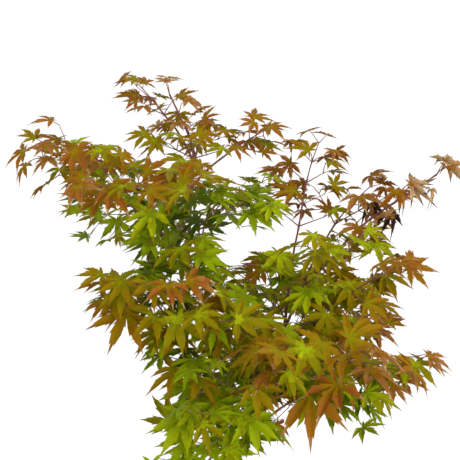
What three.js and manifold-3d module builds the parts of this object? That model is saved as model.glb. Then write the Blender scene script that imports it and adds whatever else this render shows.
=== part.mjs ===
// A young two-stemmed maple in a round nursery pot of compost.
// Millimetres, +Z up, origin at the centre of the pot's flat underside.
// +X is to the viewer's right and +Y is away from the viewer.
import * as THREE from 'three';
import { mergeVertices } from 'three/addons/utils/BufferGeometryUtils.js';
import Module from 'manifold-3d';

// Clear space left between pieces that meet
const GAP = 0.3;

// Pot
const POT_HEIGHT = 225;
const POT_RIM_RADIUS = 140;
const POT_BASE_RADIUS = 105;
const POT_WALL = 3;
const POT_BASE_EDGE = 4;
const RIM_BAND = 26;
const RIM_STEP = 4;
const RIM_ROUND = 1.5;
const POT_SIDES = 40;
const DRAIN_COUNT = 8;
const DRAIN_RADIUS = 7;
const DRAIN_RING = 84;
const DRAIN_SIDES = 12;

// Compost
const COMPOST_LEVEL = 205;
const COMPOST_EDGE_DROP = 7;
const COMPOST_CROWN_RADIUS = 45;
const COMPOST_SHOULDER = 0.55;

// Trunk, from its flat cut on the compost to the fork
const FORK_HEIGHT = 52;
const TRUNK_WAIST_RADIUS = 10;
const FORK_HALF_WIDTH = 15;
const FORK_HALF_DEPTH = 6.8;
const ROOT_FLARE = 11;
const ROOT_FLARE_FADE = 11;
const ROOT_RIBS = 5;
const ROOT_RIB_SHARE = 0.4;
const TRUNK_RING_CROWDING = 1.4;
const FORK_SPREADING = 3;
const TRUNK_SIDES = 20;
const TRUNK_RINGS = 7;

// The two stems: foot across the fork, bearing and rise in degrees, length, bow to the left, radii
const STEMS = {
  left: { foot: -8.5, bearing: 180, rise: 90, length: 663, bow: 14, thick: 5, thin: 1.9 },
  right: { foot: 8.5, bearing: -5, rise: 71, length: 474, bow: 6, thick: 4.8, thin: 2.2 },
};
const STEM_SIDES = 6;
const STEM_RINGS = 10;
const STEM_TAPER = 0.85;

// Each limb's twigs are drawn from the crown's seed and the limb's place in the list
const CROWN_SEED = 850;

// Limbs in the order that they take their space. A leader goes on from its stem's tip, a bough is a
// limb with a spray on its tip, and an inner spray grows straight from the stem.
// Name, stem, kind, height on the stem, bearing, rise, reach, spread of the side twigs.
const LIMBS = [
  ['top', 'left', 'leader', 0, -160, 80, 100, 0.1],
  ['top_left', 'left', 'bough', 700, -200, 60, 150, 0.2],
  ['top_right', 'left', 'bough', 690, 80, 40, 110, 0.5],
  ['left_high', 'left', 'bough', 650, -140, 20, 270, 0.7],
  ['left_low', 'left', 'bough', 530, -150, 50, 280, 0.5],
  ['front_high', 'left', 'bough', 640, -100, 20, 300, 0.6],
  ['low_left_front', 'left', 'bough', 370, -100, 45, 260, 0.6],
  ['low_left', 'left', 'bough', 280, -100, 75, 190, 0.2],
  ['low_front', 'left', 'bough', 150, -50, 55, 310, 0.8],
  ['back_high', 'left', 'bough', 580, 120, 10, 270, 0.7],
  ['back_left', 'left', 'bough', 480, 80, 35, 340, 0.7],
  ['back_low', 'left', 'bough', 230, 60, 15, 260, 0.8],
  ['centre_high', 'left', 'bough', 660, 0, 45, 150, 0.2],
  ['right_shoot', 'right', 'leader', 0, -20, 45, 280, 0.1],
  ['right_high', 'right', 'bough', 480, 30, 60, 230, 0.7],
  ['mid_high', 'right', 'bough', 430, 60, 75, 320, 0.2],
  ['right_mid', 'right', 'bough', 360, -40, 50, 300, 0.3],
  ['right_low', 'right', 'bough', 230, -40, 45, 320, 0.7],
  ['right_front', 'right', 'bough', 300, -60, 35, 330, 0.8],
  ['back_right', 'right', 'bough', 340, 60, 25, 370, 0.6],
  ['back_middle', 'right', 'bough', 270, 70, 45, 360, 0.8],
  ['inner_top', 'left', 'inner', 690, -80, 40, 90, 0.6],
  ['inner_high_front', 'left', 'inner', 580, -60, 35, 140, 0.7],
  ['inner_high_back', 'left', 'inner', 540, 150, 10, 80, 0.6],
  ['inner_middle_right', 'left', 'inner', 490, -90, 65, 100, 0.1],
  ['inner_middle_left', 'left', 'inner', 470, -120, 35, 130, 0.8],
  ['inner_centre', 'left', 'inner', 460, -80, 50, 150, 0.7],
  ['inner_low_left', 'left', 'inner', 390, -130, 45, 100, 0.2],
  ['inner_low_middle', 'left', 'inner', 290, -30, 60, 180, 0.8],
  ['inner_foot_left', 'left', 'inner', 190, -70, 40, 110, 0.4],
  ['inner_right_high', 'right', 'inner', 490, -70, 40, 140, 0.7],
  ['inner_right_middle', 'right', 'inner', 440, -120, 55, 100, 0.8],
  ['inner_right_side', 'right', 'inner', 400, -10, 35, 190, 0.5],
  ['inner_right_low', 'right', 'inner', 290, -80, 50, 220, 0.8],
  ['inner_foot_right', 'right', 'inner', 190, -80, 65, 180, 0.6],
];

// Boughs
const BOUGH_SHARE = 0.42;
const BOUGH_ARCH = 0.05;
const BOUGH_DROOP = 8;
const BOUGH_THICK_SHARE = 0.0085;
const BOUGH_THINNEST_ROOT = 1.9;
const BOUGH_TIP_RADIUS = 1.6;
const BOUGH_SIDES = 5;
const BOUGH_RINGS = 4;

// Twigs
const JOINT_SPACING = 40;
const FEWEST_JOINTS = 3;
const SPRAY_ROOT_RADIUS = 1.6;
const SPRAY_TIP_RADIUS = 1.0;
const TWIG_ROOT_RADIUS = 1.3;
const TWIG_TIP_RADIUS = 0.9;
const TWIG_SIDES = 3;
const TWIG_SHORTENING = 0.55;
const TWIG_SHORTEST = 12;

// Leaves: length of the middle lobe, stalk as a share of it, lobes by angle and length
const LEAF_LENGTH = 64;
const LEAF_ENLARGED = 1.25;
const STALK_SHARE = 0.62;
const STALK_ROOT = 0.45;
const STALK_SET_BACK = 4;
const TIP_CLOSE = 1.7;
const PAIR_TURN = 75;
const LOBES = [
  { angle: -84, length: 0.68 },
  { angle: -40, length: 0.92 },
  { angle: 0, length: 1 },
  { angle: 40, length: 0.92 },
  { angle: 84, length: 0.68 },
];
const SINUS_LENGTH = 0.27;
const SHOULDER = { angle: 150, length: 0.05 };
const LOBE_SAG = 0.18;
const LEAF_HALF_THICKNESS = 0.014;
const LOW_LEAVES = 150;
const LEAF_ZONE = 700;
const LOW_LEAF_SIZE = 1.14;
const HIGH_LEAF_SHRINK = 0.34;
const TIP_LEAF_SHRINK = 0.25;
const LEAF_OUTWARD = 0.2;
const LEAST_PITCH = 6;
const LOW_LEAF_PITCH = 30;

// Ranges that growth draws from: shares, and degrees for bends, turns, rolls and pitch
const RANGES = {
  leafSize: [0.82, 1.18],
  stalkAhead: [0.35, 0.75],
  stalkLift: [0, 0.45],
  stalkLength: [0.7, 1.25],
  leafTurn: [-16, 16],
  leafPitch: [-16, 20],
  leafRoll: [-18, 18],
  sprayRoll: [-20, 20],
  sprayBend: [-9, 5],
  sprayTurn: [-9, 9],
  jointRoll: [-14, 14],
  twigLength: [0.75, 1.15],
  twigAhead: [0.45, 0.85],
  twigLift: [-0.15, 0.3],
  twigBend: [-8, 6],
  twigRoll: [-30, 30],
};

// Space kept by each limb, twig and leaf
const CELL = 3;
const CLEAR_OF_POT = 12;
const LIMB_POINT_TURN = 45;
const CROWN_HEART_HEIGHT = 400;

const COLOURS = {
  pot: 0x5b5148,
  compost: 0x2e231b,
  trunk: 0x5a4634,
  stem: 0x5c4030,
  bough: 0x6e3f30,
  leaf_outer: 0xa8642c,
  leaf_inner: 0x7c8a22,
};

const wasm = await Module();
wasm.setup();

const UP = new THREE.Vector3(0, 0, 1);
const CROWN_HEART = new THREE.Vector3(0, 0, COMPOST_LEVEL + CROWN_HEART_HEIGHT);
const STEEP = 0.9;
const radians = THREE.MathUtils.degToRad;
const lerp = THREE.MathUtils.lerp;
const clamp = THREE.MathUtils.clamp;

// A repeatable stream of numbers from one seed
class Seeded {
  constructor(seed) {
    this.state = seed >>> 0;
  }

  draw() {
    this.state = (this.state + 0x6d2b79f5) >>> 0;
    let t = this.state;
    t = Math.imul(t ^ (t >>> 15), t | 1);
    t ^= t + Math.imul(t ^ (t >>> 7), t | 61);
    return ((t ^ (t >>> 14)) >>> 0) / 4294967296;
  }

  within([low, high]) {
    return low + (high - low) * this.draw();
  }
}

// Unit vector at a bearing from +X and a rise above the level, in degrees
function heading(bearing, rise) {
  const flat = Math.cos(radians(rise));
  const turn = radians(bearing);
  return new THREE.Vector3(Math.cos(turn) * flat, Math.sin(turn) * flat, Math.sin(radians(rise)));
}

function turned(vector, axis, angle) {
  return vector.clone().applyAxisAngle(axis, radians(angle));
}

// Sum of vectors, each times its own weight, as a unit vector
function blend(...terms) {
  const sum = new THREE.Vector3();
  for (const [vector, weight] of terms) {
    sum.addScaledVector(vector, weight);
  }
  return sum.normalize();
}

function step(from, way, distance) {
  return from.clone().addScaledVector(way, distance);
}

// Level line to the left of a direction
function leftOf(along) {
  return along.clone().cross(UP).normalize();
}

// Closed surface from points and triangles
function surface(points, triangles) {
  const geometry = new THREE.BufferGeometry();
  const places = points.flatMap(({ x, y, z }) => [x, y, z]);
  geometry.setAttribute('position', new THREE.Float32BufferAttribute(places, 3));
  geometry.setIndex(triangles);
  return geometry;
}

function toSolid(geometry) {
  const bare = geometry.clone();
  bare.deleteAttribute('normal');
  bare.deleteAttribute('uv');
  const merged = mergeVertices(bare);
  return new wasm.Manifold(new wasm.Mesh({
    numProp: 3,
    vertProperties: new Float32Array(merged.attributes.position.array),
    triVerts: new Uint32Array(merged.index.array),
  }));
}

function toGeometry(solid) {
  const mesh = solid.getMesh();
  const geometry = new THREE.BufferGeometry();
  geometry.setAttribute('position', new THREE.BufferAttribute(mesh.vertProperties, 3));
  geometry.setIndex(new THREE.BufferAttribute(mesh.triVerts, 1));
  return geometry;
}

// Joins pieces into one body and drops any scrap that is not joined to it
function fuse(pieces) {
  const bodies = wasm.Manifold.union(pieces).decompose();
  return bodies.reduce((largest, body) => (body.volume() > largest.volume() ? body : largest));
}

function middleOf(ring) {
  return ring.reduce((sum, point) => sum.add(point), new THREE.Vector3()).divideScalar(ring.length);
}

// Closed loft through rings that have the same number of points. Its flat ends are fans from a corner,
// or from the ring's middle where the outline is ribbed.
function loft(rings, isRibbed = false) {
  const sides = rings[0].length;
  const points = rings.flat();
  const triangles = [];
  for (let ring = 0; ring + 1 < rings.length; ring += 1) {
    for (let side = 0; side < sides; side += 1) {
      const next = (side + 1) % sides;
      const low = ring * sides;
      const high = low + sides;
      triangles.push(low + side, low + next, high + next, low + side, high + next, high + side);
    }
  }
  const last = (rings.length - 1) * sides;
  if (isRibbed) {
    const foot = points.push(middleOf(rings[0])) - 1;
    const top = points.push(middleOf(rings.at(-1))) - 1;
    for (let side = 0; side < sides; side += 1) {
      const next = (side + 1) % sides;
      triangles.push(foot, next, side, top, last + side, last + next);
    }
    return surface(points, triangles);
  }
  for (let side = 1; side + 1 < sides; side += 1) {
    triangles.push(0, side + 1, side);
    triangles.push(last, last + side, last + side + 1);
  }
  return surface(points, triangles);
}

// Tapering limb along a path; its foot is cut square to the given direction
function limbGeometry(path, radii, sides, footWay) {
  const reference = Math.abs(footWay.z) > STEEP ? new THREE.Vector3(0, 1, 0) : UP;
  const across = reference.clone().cross(footWay);
  const rings = path.map((centre, index) => {
    const before = path[Math.max(index - 1, 0)];
    const after = path[Math.min(index + 1, path.length - 1)];
    const way = index === 0 ? footWay : after.clone().sub(before).normalize();
    across.addScaledVector(way, -across.dot(way)).normalize();
    const other = way.clone().cross(across);
    return Array.from({ length: sides }, (_, side) => {
      const angle = (2 * Math.PI * side) / sides;
      const point = step(centre, across, radii[index] * Math.cos(angle));
      return point.addScaledVector(other, radii[index] * Math.sin(angle));
    });
  });
  return loft(rings);
}

function taper(count, thick, thin, power = 1) {
  return Array.from({ length: count }, (_, index) => lerp(thick, thin, (index / (count - 1)) ** power));
}

// Place on a stem at a share of its length
function stemPoint(stem, share) {
  const foot = new THREE.Vector3(stem.foot, 0, COMPOST_LEVEL + FORK_HEIGHT);
  const point = step(foot, heading(stem.bearing, stem.rise), stem.length * share);
  point.x -= stem.bow * 4 * share * (1 - share);
  return point;
}

function stemAtHeight(stem, height) {
  return stemPoint(stem, (height - FORK_HEIGHT) / (stem.length * Math.sin(radians(stem.rise))));
}

function stemPath(stem) {
  return Array.from({ length: STEM_RINGS }, (_, ring) => stemPoint(stem, ring / (STEM_RINGS - 1)));
}

function stemGeometry(stem, grow = 0) {
  const radii = taper(STEM_RINGS, stem.thick + grow, stem.thin + grow, STEM_TAPER);
  return limbGeometry(stemPath(stem), radii, STEM_SIDES, UP);
}

function endWay(path) {
  return path.at(-1).clone().sub(path.at(-2)).normalize();
}

// A limb's own values by name
function readLimb([name, stem, kind, height, bearing, rise, reach, spread], index) {
  const seed = CROWN_SEED + index;
  return { name, stem: STEMS[stem], kind, height, bearing, rise, reach, spread, seed };
}

// Arched path of a bough from its stem's middle line to its tip
function boughPath(limb) {
  const root = stemAtHeight(limb.stem, limb.height);
  const length = limb.reach * BOUGH_SHARE;
  const tip = step(root, heading(limb.bearing, limb.rise), length);
  const crest = root.clone().lerp(tip, 0.5).addScaledVector(UP, 2 * BOUGH_ARCH * length);
  return new THREE.QuadraticBezierCurve3(root, crest, tip).getPoints(BOUGH_RINGS - 1);
}

function boughRadii(limb) {
  const root = Math.max(BOUGH_THINNEST_ROOT, BOUGH_THICK_SHARE * limb.reach);
  return taper(BOUGH_RINGS, root, BOUGH_TIP_RADIUS);
}

// One leaf on its stalk at a joint. Low leaves are larger and hang more; tip leaves are smaller.
function makeLeaf(twig, at, along, side, draw, outward, age, fine) {
  const high = clamp((at.z - COMPOST_LEVEL - LOW_LEAVES) / LEAF_ZONE, 0, 1);
  const grown = (1 - TIP_LEAF_SHRINK * age) * (LOW_LEAF_SIZE - HIGH_LEAF_SHRINK * high);
  const size = LEAF_LENGTH * draw.within(RANGES.leafSize) * grown;
  const stalkAhead = draw.within(RANGES.stalkAhead);
  const stalkWay = blend([along, stalkAhead], [side, 1], [UP, draw.within(RANGES.stalkLift)]);
  const base = step(at, stalkWay, size * STALK_SHARE * draw.within(RANGES.stalkLength));
  const level = blend([new THREE.Vector3(stalkWay.x, stalkWay.y, 0), 1], [outward, LEAF_OUTWARD]);
  const flat = turned(level, UP, draw.within(RANGES.leafTurn));
  const pitch = LEAST_PITCH + LOW_LEAF_PITCH * (1 - high) + draw.within(RANGES.leafPitch);
  const across = UP.clone().cross(flat);
  const out = turned(flat, across, pitch);
  const normal = turned(out.clone().cross(across).normalize(), out, draw.within(RANGES.leafRoll));
  const wide = normal.clone().cross(out);
  const root = step(at, along.clone().normalize(), -STALK_SET_BACK);
  return { twig, root, base, out, wide, normal, size, fine };
}

// Pair of leaves, one on each side of a joint; at a tip they close in towards the twig's line
function leafPair(spray, twig, along, side, draw, outward, age, isTip, fine) {
  const at = twig.path.at(-1);
  const ahead = along.clone().multiplyScalar(isTip ? TIP_CLOSE : 1);
  for (const hand of [-1, 1]) {
    const away = side.clone().multiplyScalar(hand);
    spray.leaves.push(makeLeaf(twig, at, ahead, away, draw, outward, age, fine));
  }
}

// Side twig with a leaf pair at each joint; only the pair at its tip is made
function growSideTwig(spray, start, way, length, draw, outward, age) {
  const count = Math.max(1, Math.round(length / JOINT_SPACING));
  const twig = { path: [start] };
  let along = way;
  for (let joint = 1; joint <= count; joint += 1) {
    along = turned(along, leftOf(along), draw.within(RANGES.twigBend));
    twig.path.push(step(twig.path.at(-1), along, length / count));
    const side = turned(leftOf(along), along, draw.within(RANGES.twigRoll));
    const older = age + ((1 - age) * joint) / count;
    leafPair(spray, twig, along, side, draw, outward, older, joint === count, joint < count);
  }
  spray.sideTwigs.push(twig);
}

// Spray: one stem that wanders as it grows, with a pair of side twigs at each odd joint and a pair
// of leaves at each even one, turned out of the side twigs' plane, and on its tip
function growSpray(start, direction, reach, spread, seed) {
  const draw = new Seeded(seed);
  const count = Math.max(FEWEST_JOINTS, Math.round(reach / JOINT_SPACING));
  const spray = { stem: { path: [start] }, sideTwigs: [], leaves: [] };
  const outward = new THREE.Vector3(direction.x, direction.y, 0).normalize();
  const roll = draw.within(RANGES.sprayRoll);
  let along = direction;
  for (let joint = 1; joint <= count; joint += 1) {
    along = turned(along, leftOf(along), draw.within(RANGES.sprayBend));
    along = turned(along, UP, draw.within(RANGES.sprayTurn));
    const at = step(spray.stem.path.at(-1), along, reach / count);
    spray.stem.path.push(at);
    const side = turned(leftOf(along), along, roll + draw.within(RANGES.jointRoll));
    const age = joint / count;
    if (joint === count) {
      leafPair(spray, spray.stem, along, side, draw, outward, age, true, false);
    } else if (joint % 2 === 0) {
      const turnedSide = turned(side, along, PAIR_TURN);
      leafPair(spray, spray.stem, along, turnedSide, draw, outward, age, false, false);
    } else {
      for (const hand of [-1, 1]) {
        const fullLength = spread * reach * (1 - TWIG_SHORTENING * age) + TWIG_SHORTEST;
        const length = fullLength * draw.within(RANGES.twigLength);
        const ahead = draw.within(RANGES.twigAhead);
        const way = blend([along, ahead], [side, hand], [UP, draw.within(RANGES.twigLift)]);
        growSideTwig(spray, at, way, length, draw, outward, age);
      }
    }
  }
  return spray;
}

// The spray that a limb carries, and the direction that its foot is cut square to
function limbSpray(limb) {
  const way = heading(limb.bearing, limb.rise);
  if (limb.kind === 'inner') {
    const root = stemAtHeight(limb.stem, limb.height);
    return { ...growSpray(root, way, limb.reach, limb.spread, limb.seed), footWay: way };
  }
  if (limb.kind === 'leader') {
    const footWay = endWay(stemPath(limb.stem));
    return { ...growSpray(stemPoint(limb.stem, 1), way, limb.reach, limb.spread, limb.seed), footWay };
  }
  const path = boughPath(limb);
  const droop = heading(limb.bearing, limb.rise - BOUGH_DROOP);
  const reach = limb.reach * (1 - BOUGH_SHARE);
  return { ...growSpray(path.at(-1), droop, reach, limb.spread, limb.seed), footWay: endWay(path) };
}

// Corners of a leaf's outline from one shoulder round the lobes to the other
function leafRim(leaf) {
  const size = leaf.size * LEAF_ENLARGED;
  const corner = (angle, length) => {
    const point = step(leaf.base, leaf.out, size * length * Math.cos(radians(angle)));
    point.addScaledVector(leaf.wide, size * length * Math.sin(radians(angle)));
    return point.addScaledVector(leaf.normal, -size * LOBE_SAG * length ** 2);
  };
  const rim = [corner(-SHOULDER.angle, SHOULDER.length)];
  LOBES.forEach((lobe, index) => {
    if (index > 0) {
      rim.push(corner((LOBES[index - 1].angle + lobe.angle) / 2, SINUS_LENGTH));
    }
    rim.push(corner(lobe.angle, lobe.length));
  });
  rim.push(corner(SHOULDER.angle, SHOULDER.length));
  return rim;
}

// Leaf blade as two fans of triangles over one rim, with a three-sided stalk down to the twig
function leafGeometry(leaf) {
  const half = leaf.size * LEAF_ENLARGED * LEAF_HALF_THICKNESS;
  const rim = leafRim(leaf);
  const stalkWay = leaf.base.clone().sub(leaf.root).normalize();
  const across = leaf.wide.clone().addScaledVector(stalkWay, -leaf.wide.dot(stalkWay)).normalize();
  const above = stalkWay.clone().cross(across);
  const foot = [
    step(leaf.root, across, -STALK_ROOT).addScaledVector(above, STALK_ROOT / 2),
    step(leaf.root, across, STALK_ROOT).addScaledVector(above, STALK_ROOT / 2),
    step(leaf.root, above, -STALK_ROOT),
  ];
  const top = rim.length;
  const under = top + 1;
  const mouth = [0, rim.length - 1, under];
  const triangles = [top, rim.length - 1, 0, under + 1, under + 2, under + 3];
  for (let index = 0; index + 1 < rim.length; index += 1) {
    triangles.push(top, index, index + 1, under, index + 1, index);
  }
  for (let side = 0; side < 3; side += 1) {
    const next = (side + 1) % 3;
    const low = under + 1 + side;
    const lowNext = under + 1 + next;
    triangles.push(mouth[side], mouth[next], lowNext, mouth[side], lowNext, low);
  }
  const heart = [step(leaf.base, leaf.normal, half), step(leaf.base, leaf.normal, -half)];
  return surface([...rim, ...heart, ...foot], triangles);
}

// Points at most a cell apart on a line
function alongLine(from, to, start = 0) {
  const count = Math.ceil(from.distanceTo(to) / CELL);
  const points = [];
  for (let index = Math.ceil(start * count); index <= count; index += 1) {
    points.push(from.clone().lerp(to, index / count));
  }
  return points;
}

function alongPath(path) {
  return path.slice(1).flatMap((to, index) => alongLine(path[index], to));
}

// Points all over a leaf's blade
function bladePoints(leaf) {
  const rim = leafRim(leaf);
  return rim.slice(1).flatMap((to, index) => (
    alongLine(rim[index], to).flatMap((edge) => alongLine(leaf.base, edge))
  ));
}

// Points on and inside a round limb
function limbPoints(path, radii) {
  return path.slice(1).flatMap((to, index) => {
    const radius = Math.max(radii[index], radii[index + 1]);
    return alongLine(path[index], to).flatMap((centre) => {
      const round = [centre];
      for (let angle = 0; angle < 360; angle += LIMB_POINT_TURN) {
        round.push(step(centre, heading(angle, 0), radius));
      }
      return round;
    });
  });
}

// Cells of space and the piece that holds each
class Space {
  constructor() {
    this.cells = new Map();
  }

  static key(point, dx = 0, dy = 0, dz = 0) {
    const [x, y, z] = [point.x, point.y, point.z].map((value) => Math.floor(value / CELL));
    return `${x + dx},${y + dy},${z + dz}`;
  }

  // Takes the cells at and around the points, unless another piece holds them
  claim(points, owner) {
    for (const cell of new Map(points.map((point) => [Space.key(point), point])).values()) {
      for (let near = 0; near < 27; near += 1) {
        const key = Space.key(cell, (near % 3) - 1, (Math.floor(near / 3) % 3) - 1, Math.floor(near / 9) - 1);
        if (!this.cells.has(key)) {
          this.cells.set(key, owner);
        }
      }
    }
  }

  // True where every point is above the pot and in a cell that is free or the owner's own
  isFree(points, owner = null) {
    return points.every((point) => {
      const holder = this.cells.get(Space.key(point));
      return point.z > POT_HEIGHT + CLEAR_OF_POT && (holder === undefined || holder === owner);
    });
  }
}

// Grows every spray. The stems of the sprays take their space first, then the side twigs, then the
// leaves from the outside of the crown inwards. What finds its space taken is left out.
function growCrown(limbs) {
  const space = new Space();
  for (const stem of Object.values(STEMS)) {
    space.claim(limbPoints(stemPath(stem), taper(STEM_RINGS, stem.thick, stem.thin, STEM_TAPER)), stem);
  }
  for (const limb of limbs.filter(({ kind }) => kind === 'bough')) {
    space.claim(limbPoints(boughPath(limb), boughRadii(limb)), limb.stem);
  }
  const sprays = limbs.map(limbSpray);
  for (const spray of sprays) {
    space.claim(alongPath(spray.stem.path), spray);
  }
  for (const spray of sprays) {
    spray.sideTwigs = spray.sideTwigs.filter(({ path }) => space.isFree(alongPath(path), spray));
    spray.sideTwigs.forEach(({ path }) => space.claim(alongPath(path), spray));
  }
  const leaves = sprays.flatMap((spray) => spray.leaves.map((leaf) => ({ spray, leaf })));
  const fromHeart = ({ leaf }) => leaf.base.distanceTo(CROWN_HEART);
  leaves.sort((a, b) => fromHeart(b) - fromHeart(a));
  sprays.forEach((spray) => {
    spray.leaves = [];
  });
  for (const { spray, leaf } of leaves.filter((entry) => !entry.leaf.fine)) {
    const isCarried = leaf.twig === spray.stem || spray.sideTwigs.includes(leaf.twig);
    const stalk = alongLine(leaf.root, leaf.base);
    const blade = bladePoints(leaf);
    if (isCarried && space.isFree(stalk, spray) && space.isFree(blade)) {
      space.claim([...stalk, ...blade], spray);
      spray.leaves.push(leaf);
    }
  }
  return sprays;
}

// Spray as one solid: stem, straight side twigs that bear leaves, and leaves, fused together
function sprayGeometry(limb, spray) {
  const path = [...spray.stem.path];
  path[0] = step(path[0], spray.footWay, GAP);
  const stemRadii = taper(path.length, SPRAY_ROOT_RADIUS, SPRAY_TIP_RADIUS);
  const pieces = [toSolid(limbGeometry(path, stemRadii, TWIG_SIDES, spray.footWay))];
  const bearing = new Set(spray.leaves.map(({ twig }) => twig));
  for (const twig of spray.sideTwigs.filter((side) => bearing.has(side))) {
    const ends = [twig.path[0], twig.path.at(-1)];
    const radii = taper(ends.length, TWIG_ROOT_RADIUS, TWIG_TIP_RADIUS);
    pieces.push(toSolid(limbGeometry(ends, radii, TWIG_SIDES, endWay(ends))));
  }
  pieces.push(...spray.leaves.map((leaf) => toSolid(leafGeometry(leaf))));
  const whole = fuse(pieces);
  if (limb.kind === 'inner') {
    return toGeometry(fuse([whole.subtract(toSolid(stemGeometry(limb.stem, GAP)))]));
  }
  return toGeometry(whole);
}

// Bough cut to sit on its stem
function boughGeometry(limb) {
  const path = boughPath(limb);
  const footWay = path[1].clone().sub(path[0]).normalize();
  const whole = toSolid(limbGeometry(path, boughRadii(limb), BOUGH_SIDES, footWay));
  return toGeometry(fuse([whole.subtract(toSolid(stemGeometry(limb.stem, GAP)))]));
}

// Short trunk, round with root ribs at its flat cut and drawn out sideways to the fork
function trunkGeometry() {
  const rings = [];
  for (let ring = 0; ring < TRUNK_RINGS; ring += 1) {
    const share = ring / (TRUNK_RINGS - 1);
    const height = share ** TRUNK_RING_CROWDING * (FORK_HEIGHT - 2 * GAP);
    const fade = Math.exp(-height / ROOT_FLARE_FADE);
    const halfWidth = lerp(TRUNK_WAIST_RADIUS, FORK_HALF_WIDTH, share ** FORK_SPREADING);
    const halfDepth = lerp(TRUNK_WAIST_RADIUS, FORK_HALF_DEPTH, share ** FORK_SPREADING);
    const points = [];
    for (let side = 0; side < TRUNK_SIDES; side += 1) {
      const angle = (2 * Math.PI * side) / TRUNK_SIDES;
      const flare = ROOT_FLARE * fade * (1 - ROOT_RIB_SHARE * (1 - Math.cos(ROOT_RIBS * angle)));
      const x = (halfWidth + flare) * Math.cos(angle);
      const y = (halfDepth + flare) * Math.sin(angle);
      points.push(new THREE.Vector3(x, y, COMPOST_LEVEL + GAP + height));
    }
    rings.push(points);
  }
  return loft(rings, true);
}

// Inside radius of the pot's wall at a height
function potInside(height) {
  const share = height / (POT_HEIGHT - RIM_BAND);
  return lerp(POT_BASE_RADIUS, POT_RIM_RADIUS - RIM_STEP, share) - POT_WALL;
}

function latheUp(profile) {
  const points = profile.map(([radius, height]) => new THREE.Vector2(radius, height));
  return new THREE.LatheGeometry(points, POT_SIDES).rotateX(Math.PI / 2);
}

// Tapering pot with a stepped rim band, open at the top, with drain holes in its floor
function potGeometry() {
  const band = POT_HEIGHT - RIM_BAND;
  const wallTop = POT_RIM_RADIUS - RIM_STEP;
  const shell = latheUp([
    [0, 0],
    [POT_BASE_RADIUS - POT_BASE_EDGE, 0],
    [POT_BASE_RADIUS, POT_BASE_EDGE],
    [wallTop, band],
    [POT_RIM_RADIUS, band + RIM_ROUND],
    [POT_RIM_RADIUS, POT_HEIGHT - RIM_ROUND],
    [POT_RIM_RADIUS - RIM_ROUND, POT_HEIGHT],
    [wallTop - POT_WALL + RIM_ROUND, POT_HEIGHT],
    [wallTop - POT_WALL, POT_HEIGHT - RIM_ROUND],
    [wallTop - POT_WALL, band],
    [potInside(POT_WALL), POT_WALL],
    [0, POT_WALL],
  ]);
  const drains = Array.from({ length: DRAIN_COUNT }, (_, index) => {
    const angle = (2 * Math.PI * index) / DRAIN_COUNT;
    const drain = new THREE.CylinderGeometry(DRAIN_RADIUS, DRAIN_RADIUS, 3 * POT_WALL, DRAIN_SIDES);
    drain.rotateX(Math.PI / 2);
    drain.translate(DRAIN_RING * Math.cos(angle), DRAIN_RING * Math.sin(angle), POT_WALL / 2);
    return toSolid(drain);
  });
  return toGeometry(toSolid(shell).subtract(wasm.Manifold.union(drains)));
}

// Compost that fills the pot, level under the trunk and lower towards the wall
function compostGeometry() {
  const low = POT_WALL + GAP;
  const edge = COMPOST_LEVEL - COMPOST_EDGE_DROP;
  return latheUp([
    [0, low],
    [potInside(low) - GAP, low],
    [potInside(edge) - GAP, edge],
    [lerp(COMPOST_CROWN_RADIUS, potInside(edge), COMPOST_SHOULDER), COMPOST_LEVEL - COMPOST_EDGE_DROP / 2],
    [COMPOST_CROWN_RADIUS, COMPOST_LEVEL],
    [0, COMPOST_LEVEL],
  ]);
}

function addPiece(group, name, geometry, colour, roughness = 0.8) {
  const material = new THREE.MeshStandardMaterial({ color: colour, roughness, metalness: 0 });
  const mesh = new THREE.Mesh(geometry, material);
  mesh.name = name;
  group.add(mesh);
}

function buildMaple() {
  const maple = new THREE.Group();
  addPiece(maple, 'pot', potGeometry(), COLOURS.pot, 0.6);
  addPiece(maple, 'compost', compostGeometry(), COLOURS.compost, 1);
  addPiece(maple, 'trunk', trunkGeometry(), COLOURS.trunk);
  for (const [name, stem] of Object.entries(STEMS)) {
    addPiece(maple, `stem_${name}`, stemGeometry(stem), COLOURS.stem);
  }
  const limbs = LIMBS.map(readLimb);
  const sprays = growCrown(limbs);
  limbs.forEach((limb, index) => {
    if (limb.kind === 'bough') {
      addPiece(maple, `bough_${limb.name}`, boughGeometry(limb), COLOURS.bough);
    }
    const colour = limb.kind === 'inner' ? COLOURS.leaf_inner : COLOURS.leaf_outer;
    addPiece(maple, `foliage_${limb.name}`, sprayGeometry(limb, sprays[index]), colour, 0.55);
  });
  return maple;
}

export default buildMaple();
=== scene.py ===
"""Looks of a young two-stemmed maple in a round nursery pot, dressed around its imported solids.

Metres, +Z up, with the origin at the middle of the pot's flat underside. +X is to the viewer's right and
+Y is away from the viewer. Growth is worked out in millimetres, as the solids are, and MM turns it into
metres when a mesh is made.
"""

import logging
import math
from dataclasses import dataclass, field, replace
from enum import Enum

import bpy
import numpy as np
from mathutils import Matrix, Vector
from numpy.typing import NDArray


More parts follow.
